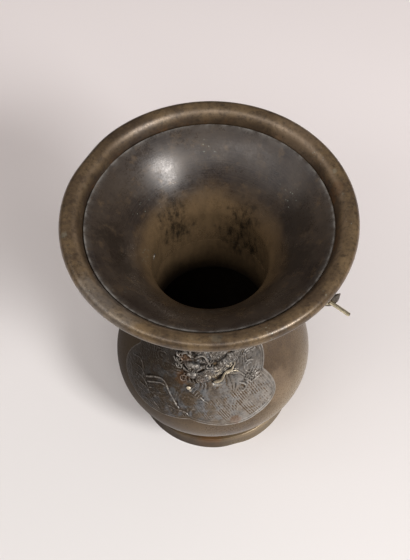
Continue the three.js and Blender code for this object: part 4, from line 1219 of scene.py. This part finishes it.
class MESH_OT_vase_trumpet(VaseOperator, bpy.types.Operator):
    """Turn the trumpet mouth with its thin ledge, throat and spigot"""
    bl_idname = "mesh.vase_trumpet"
    bl_label = "Trumpet mouth"

    def execute(self, context):
        v = context.scene.vase_body
        profile, on_ledge = trumpet_profile(v)
        mesh = turned_mesh("trumpet_mouth", profile, v.turns)
        store(mesh, "ledge", np.repeat(on_ledge, v.turns))
        number = np.arange(len(profile))
        store(mesh, "outside", np.repeat((number > 0) & (number < on_ledge.index(1)), v.turns))
        finish_by_hand(mesh, v.hand_depth, v.hand_size, place=17)
        add_piece("trumpet_turned", mesh, "trumpet_mouth",
                  funnel_bronze(context.scene.vase_finishes))
        return {"FINISHED"}


class MESH_OT_vase_belly(VaseOperator, bpy.types.Operator):
    """Turn the hollow belly"""
    bl_idname = "mesh.vase_belly"
    bl_label = "Belly"

    def execute(self, context):
        v = context.scene.vase_body
        outer = belly_outer(v)
        inner = offset_profile(outer, -v.belly_wall)[1:]
        seat = (v.waist_radius - v.belly_seat, BELLY_LOW.z)
        throat = v.neck_radius - v.belly_wall
        step = TRUMPET_LOW.z - v.seat_gap
        inner = inner[inner[:, 1] < step]
        below = np.maximum(v.throat_depth - inner[:, 1], 0)
        inner[:, 0] = np.minimum(inner[:, 0], throat + v.throat_spread * below)
        socket = throat + v.spigot_wall + v.seat_gap
        rebate = [(socket, BELLY_HIGH.z), (socket, step), (throat, step)]
        profile = [*outer, *rebate, *inner[::-1], seat]
        mesh = turned_mesh("belly", profile, v.turns)
        store(mesh, "inside", np.repeat(np.arange(len(profile)) >= len(outer), v.turns))
        add_piece("belly_turned", mesh, "belly", belly_bronze(context.scene.vase_finishes))
        return {"FINISHED"}


class MESH_OT_vase_foot(VaseOperator, bpy.types.Operator):
    """Turn the stepped foot, with its knock, and the base plate let into it"""
    bl_idname = "mesh.vase_foot"
    bl_label = "Foot and base plate"

    def execute(self, context):
        v = context.scene.vase_body
        bronze = foot_bronze(context.scene.vase_finishes)
        foot = turned_mesh("foot_ring", foot_profile(v), v.turns)
        shift = direction(FOOT_LEAN, 0) * v.foot_shift
        for vertex in foot.vertices:
            out = Vector((vertex.co.x, vertex.co.y, 0))
            spread = (out.length - v.waist_radius) / (v.foot_radius - v.waist_radius)
            vertex.co += (shift - out.normalized() * v.foot_shrink) * min(max(spread, 0), 1)
        dent(foot, **FOOT_KNOCK)
        add_piece("foot_turned", foot, "foot_ring", bronze)
        rings = np.linspace(0, BASE_HIGH.x, BASE_RINGS)
        marks = BASE_LOW.z + BASE_MARK_DEPTH * (1 - np.cos(rings / BASE_MARK_WIDTH))
        top = [(BASE_HIGH.x, BASE_HIGH.z), (0, BASE_HIGH.z)]
        plate = turned_mesh("base_plate", [*zip(rings, marks), *top], v.turns)
        add_piece("base_plate_turned", plate, "base_plate", bronze)
        return {"FINISHED"}


class MESH_OT_vase_panels(VaseOperator, bpy.types.Operator):
    """Chase the dragon panels on the front and back of the belly"""
    bl_idname = "mesh.vase_panels"
    bl_label = "Relief panels"

    def execute(self, context):
        p = context.scene.vase_panel
        relief = Relief(context.scene.vase_body, p)
        chase_waves(relief, p)
        chase_clouds(relief, p)
        chase_dragon(relief, p)
        relief.flow()
        relief.crust()
        chase_proud_lines(relief)
        relief.matting()
        relief.frame()
        mesh = relief.mesh("relief_panel")
        bronze = relief_bronze(context.scene.vase_finishes)
        add_piece("front_panel_chased", mesh, "front_relief_panel", bronze)
        rear = mesh.copy()
        rear.transform(Matrix.Rotation(math.pi, 4, "Z"))
        add_piece("rear_panel_chased", rear, "rear_relief_panel", bronze)
        return {"FINISHED"}


def add_loft(form, path, half_widths, side, thickness):
    """Adds a closed tube along a path to a bmesh."""
    path = [Vector(p) for p in path]
    rings = []
    for i, centre in enumerate(path):
        along = (path[min(i + 1, len(path) - 1)] - path[max(i - 1, 0)]).normalized()
        across = along.cross(side).normalized()
        ring = []
        for k in range(ARM_SIDES):
            turn = 2 * math.pi * k / ARM_SIDES
            offset = across * math.cos(turn) + side * (thickness * math.sin(turn))
            ring.append(form.verts.new(centre + offset * half_widths[i]))
        rings.append(ring)
    for low, high in zip(rings, rings[1:]):
        for k in range(ARM_SIDES):
            n = (k + 1) % ARM_SIDES
            form.faces.new((low[k], high[k], high[n], low[n]))
    form.faces.new(rings[0])
    form.faces.new(rings[-1][::-1])


def handle_bend(v, h):
    """The lowest point of the handle's centre line, from which its hook, pin and rivet are set out."""
    return Vector((v.neck_radius + h.bend_reach, 0, BELLY_HIGH.z + h.root_rise - h.bend_drop))


def handle_line(v, h):
    """Points on the handle's centre line, and half the height of its section at each."""
    bend = handle_bend(v, h)
    root = Vector((v.neck_radius - v.trumpet_wall, 0, BELLY_HIGH.z + h.root_rise))
    tip = bend + Vector((h.hook_reach, 0, h.hook_rise))
    leave, enter = Vector((h.arm_reach, 0, h.arm_rise)), Vector((h.bend_ease, 0, 0))
    arm = bezier(root, root + leave, bend - enter, bend, ARM_STEPS)
    leave, enter = Vector((h.hook_ease, 0, 0)), Vector((h.hook_lean, 0, h.hook_curl))
    hook = bezier(bend, bend + leave, tip - enter, tip, HOOK_STEPS)
    line = np.vstack([arm, hook[1:]])
    steps = np.linalg.norm(np.diff(line, axis=0), axis=1)
    place = np.concatenate([[0], np.cumsum(steps)]) / steps.sum()
    half = (h.arm_girth + (h.hook_tip - h.arm_girth) * place ** 3) / 2
    return line, half * np.clip((1 - place) / TIP_SHARE, TIP_END, 1) ** TIP_BLUNTNESS


def handle_mesh(v, h):
    """The cast handle: oval root plate, sinking arm and upright hook, melted into one form."""
    line, half = handle_line(v, h)
    form = bmesh.new()
    add_loft(form, line, half, Vector((0, -1, 0)), h.flatness)
    plate = bmesh.ops.create_cone(
        form, cap_ends=True, segments=ROOT_SIDES, radius1=0.5, radius2=0.5 * ROOT_TAPER, depth=1)["verts"]
    depth = h.root_thickness + v.trumpet_wall / 2
    middle = Vector((v.neck_radius + h.root_thickness - depth / 2, 0, BELLY_HIGH.z + h.root_rise))
    shape = (Matrix.Translation(middle) @ Matrix.Rotation(math.pi / 2, 4, "Y")
             @ Matrix.Diagonal((h.root_length, h.root_width, depth, 1)))
    bmesh.ops.transform(form, matrix=shape, verts=plate)
    bmesh.ops.recalc_face_normals(form, faces=form.faces)
    rough = bpy.data.meshes.new("handle_rough")
    form.to_mesh(rough)
    form.free()
    blank = bpy.data.objects.new("handle_blank", rough)
    bpy.context.scene.collection.objects.link(blank)
    melt = blank.modifiers.new("melt", "REMESH")
    melt.mode = "VOXEL"
    melt.voxel_size = h.casting_grain
    ease_edges = blank.modifiers.new("ease", "SMOOTH")
    ease_edges.iterations = EASE_ROUNDS
    graph = bpy.context.evaluated_depsgraph_get()
    mesh = bpy.data.meshes.new_from_object(blank.evaluated_get(graph))
    bpy.data.objects.remove(blank)
    bpy.data.meshes.remove(rough)
    return mesh


def stand_along(mesh, base, axis):
    """Moves a turned mesh to stand on a point along an axis."""
    turn = Vector((0, 0, 1)).rotation_difference(axis).to_matrix().to_4x4()
    mesh.transform(Matrix.Translation(base) @ turn)


class MESH_OT_vase_handles(VaseOperator, bpy.types.Operator):
    """Cast the two hooked handles and fit their dowel pins and rivets"""
    bl_idname = "mesh.vase_handles"
    bl_label = "Handles, pins and rivets"

    def execute(self, context):
        v, h = context.scene.vase_body, context.scene.vase_handle
        cast, brass = handle_bronze(context.scene.vase_finishes), pin_brass(context.scene.vase_finishes)
        bend, face = handle_bend(v, h), h.arm_girth / 2 * h.flatness
        radius, edge = h.pin_diameter / 2, h.pin_chamfer
        pin = turned_mesh("handle_pin", [
            (0, 0), (radius - edge, 0), (radius, edge), (radius, h.pin_length - edge),
            (radius - edge, h.pin_length), (0, h.pin_length)], SMALL_TURNS)
        drop = Vector((math.cos(h.pin_drop), 0, -math.sin(h.pin_drop)))
        stand_along(pin, bend + Vector((h.pin_reach, -face, h.pin_rise)), drop)
        turn = np.linspace(0, math.pi / 2, DOME_POINTS)
        seat = face - h.rivet_seat
        dome = [(h.rivet_diameter / 2 * math.cos(t), seat + h.rivet_height * math.sin(t)) for t in turn]
        upper = [(h.rivet_shank / 2, seat), *dome[:-1], (0, seat + h.rivet_height)]
        rivet = turned_mesh("handle_rivet", [*((r, -z) for r, z in upper[::-1]), *upper], SMALL_TURNS)
        stand_along(rivet, bend + Vector((h.rivet_reach, 0, h.rivet_rise)), Vector((0, -1, 0)))
        handle = handle_mesh(v, h)
        for side, spin in (("right", 0), ("left", math.pi)):
            for part, mesh, slot, material in (
                ("handle", handle, "handle_bronze", cast),
                ("handle_pin", pin, "pin_brass", brass),
                ("handle_rivet", rivet, "pin_brass", brass),
            ):
                copy = mesh.copy()
                copy.transform(Matrix.Rotation(spin, 4, "Z"))
                add_piece(f"{side}_{part}_made", copy, f"{side}_{part}", material)
        return {"FINISHED"}


class SCENE_OT_vase_stage(VaseOperator, bpy.types.Operator):
    """Set up the paper floor, the softbox with its fill and side lights, the room and the camera"""
    bl_idname = "scene.vase_stage"
    bl_label = "Stage"

    def execute(self, context):
        scene, s = context.scene, context.scene.vase_stage
        half = s.floor_size / 2
        corners = [(x * half, y * half, 0) for x, y in ((-1, -1), (1, -1), (1, 1), (-1, 1))]
        paper = bpy.data.meshes.new("floor")
        paper.from_pydata(corners, [], [(0, 1, 2, 3)])
        paper.materials.append(floor_paper(s))
        floor = bpy.data.objects.new("floor", paper)
        scene.collection.objects.link(floor)

        world = bpy.data.worlds.new("room")
        world.use_nodes = True
        tree = world.node_tree
        room = tree.nodes["Background"]
        sky = add_node(tree, "ShaderNodeTexCoord", out="Generated")
        height = add_node(tree, "ShaderNodeSeparateXYZ", {0: sky}, "Z")
        rise = add_node(tree, "ShaderNodeMapRange", {0: height, 1: 0.05, 2: 0.75}, **EASED)
        glow = tint(tree, s.wall_colour, s.ceiling_colour, rise)
        tree.links.new(glow, room.inputs["Color"])
        room.inputs["Strength"].default_value = s.world_strength
        scene.world = world

        target = Vector((0, 0, s.camera_height))
        for name, prefix, size in (
            ("softbox", "key", (s.key_size, s.key_size)),
            ("fill", "fill", (s.fill_width, s.fill_height)),
            ("side", "side", (s.side_size, s.side_size)),
        ):
            azimuth, elevation, distance, watts = (
                getattr(s, f"{prefix}_{setting}")
                for setting in ("azimuth", "elevation", "distance", "power"))
            towards = direction(azimuth, elevation)
            lamp = bpy.data.lights.new(name, "AREA")
            lamp.shape = "RECTANGLE"
            lamp.size, lamp.size_y = size
            lamp.energy = watts
            lamp_object = bpy.data.objects.new(name, lamp)
            lamp_object.location = target + towards * distance
            lamp_object.rotation_euler = towards.to_track_quat("Z", "Y").to_euler()
            scene.collection.objects.link(lamp_object)

        self.place_camera(scene, s, target)
        scene.view_settings.view_transform = "Standard"
        return {"FINISHED"}

    def place_camera(self, scene, s, target):
        """Aims the camera at the mouth's centre, then pans, tilts and rolls it."""
        away = direction(s.camera_azimuth, s.camera_elevation)
        forward = -away
        right = forward.cross(Vector((0, 0, 1))).normalized()
        up = right.cross(forward)
        pan = Matrix.Rotation(s.camera_pan, 3, up)
        tilt = Matrix.Rotation(s.camera_tilt, 3, right)
        forward = tilt @ pan @ forward
        right = pan @ right
        roll = Matrix.Rotation(s.camera_roll, 3, forward)
        up = roll @ right.cross(forward)
        right = roll @ right
        lens = bpy.data.cameras.new("camera")
        lens.sensor_fit = "HORIZONTAL"
        lens.sensor_width = s.sensor_width
        lens.lens = s.focal_pixels / IMAGE_WIDTH * s.sensor_width
        lens.clip_start = CLIP_START
        camera = bpy.data.objects.new("camera", lens)
        axes = Matrix((right, up, -forward)).transposed()
        camera.matrix_world = Matrix.Translation(target + away * s.camera_distance) @ axes.to_4x4()
        scene.collection.objects.link(camera)
        scene.camera = camera


OPERATORS = (
    MESH_OT_vase_rim,
    MESH_OT_vase_trumpet,
    MESH_OT_vase_belly,
    MESH_OT_vase_foot,
    MESH_OT_vase_panels,
    MESH_OT_vase_handles,
    SCENE_OT_vase_stage,
)
SETTINGS = {
    "vase_body": VaseBodySizes,
    "vase_panel": VasePanelSizes,
    "vase_handle": VaseHandleSizes,
    "vase_finishes": VaseFinishes,
    "vase_stage": VaseStage,
}


class VIEW3D_PT_vase(bpy.types.Panel):
    """Lists the vase's pieces and their sizes"""
    bl_idname = "VIEW3D_PT_vase"
    bl_label = "Bronze Vase"
    bl_space_type = "VIEW_3D"
    bl_region_type = "UI"
    bl_category = "Vase"

    def draw(self, context):
        for operator in OPERATORS:
            self.layout.operator(operator.bl_idname, text=operator.bl_label)
        for name, group in SETTINGS.items():
            box = self.layout.box()
            for prop in group.__annotations__:
                box.prop(getattr(context.scene, name), prop)


def register():
    for cls in (*SETTINGS.values(), *OPERATORS, VIEW3D_PT_vase):
        bpy.utils.register_class(cls)
    for name, group in SETTINGS.items():
        setattr(bpy.types.Scene, name, PointerProperty(type=group))


def unregister():
    for name in SETTINGS:
        delattr(bpy.types.Scene, name)
    for cls in reversed((*SETTINGS.values(), *OPERATORS, VIEW3D_PT_vase)):
        bpy.utils.unregister_class(cls)


def main():
    register()
    bpy.ops.mesh.vase_rim()
    bpy.ops.mesh.vase_trumpet()
    bpy.ops.mesh.vase_belly()
    bpy.ops.mesh.vase_foot()
    bpy.ops.mesh.vase_panels()
    bpy.ops.mesh.vase_handles()
    bpy.ops.scene.vase_stage()


if __name__ == "__main__":
    main()
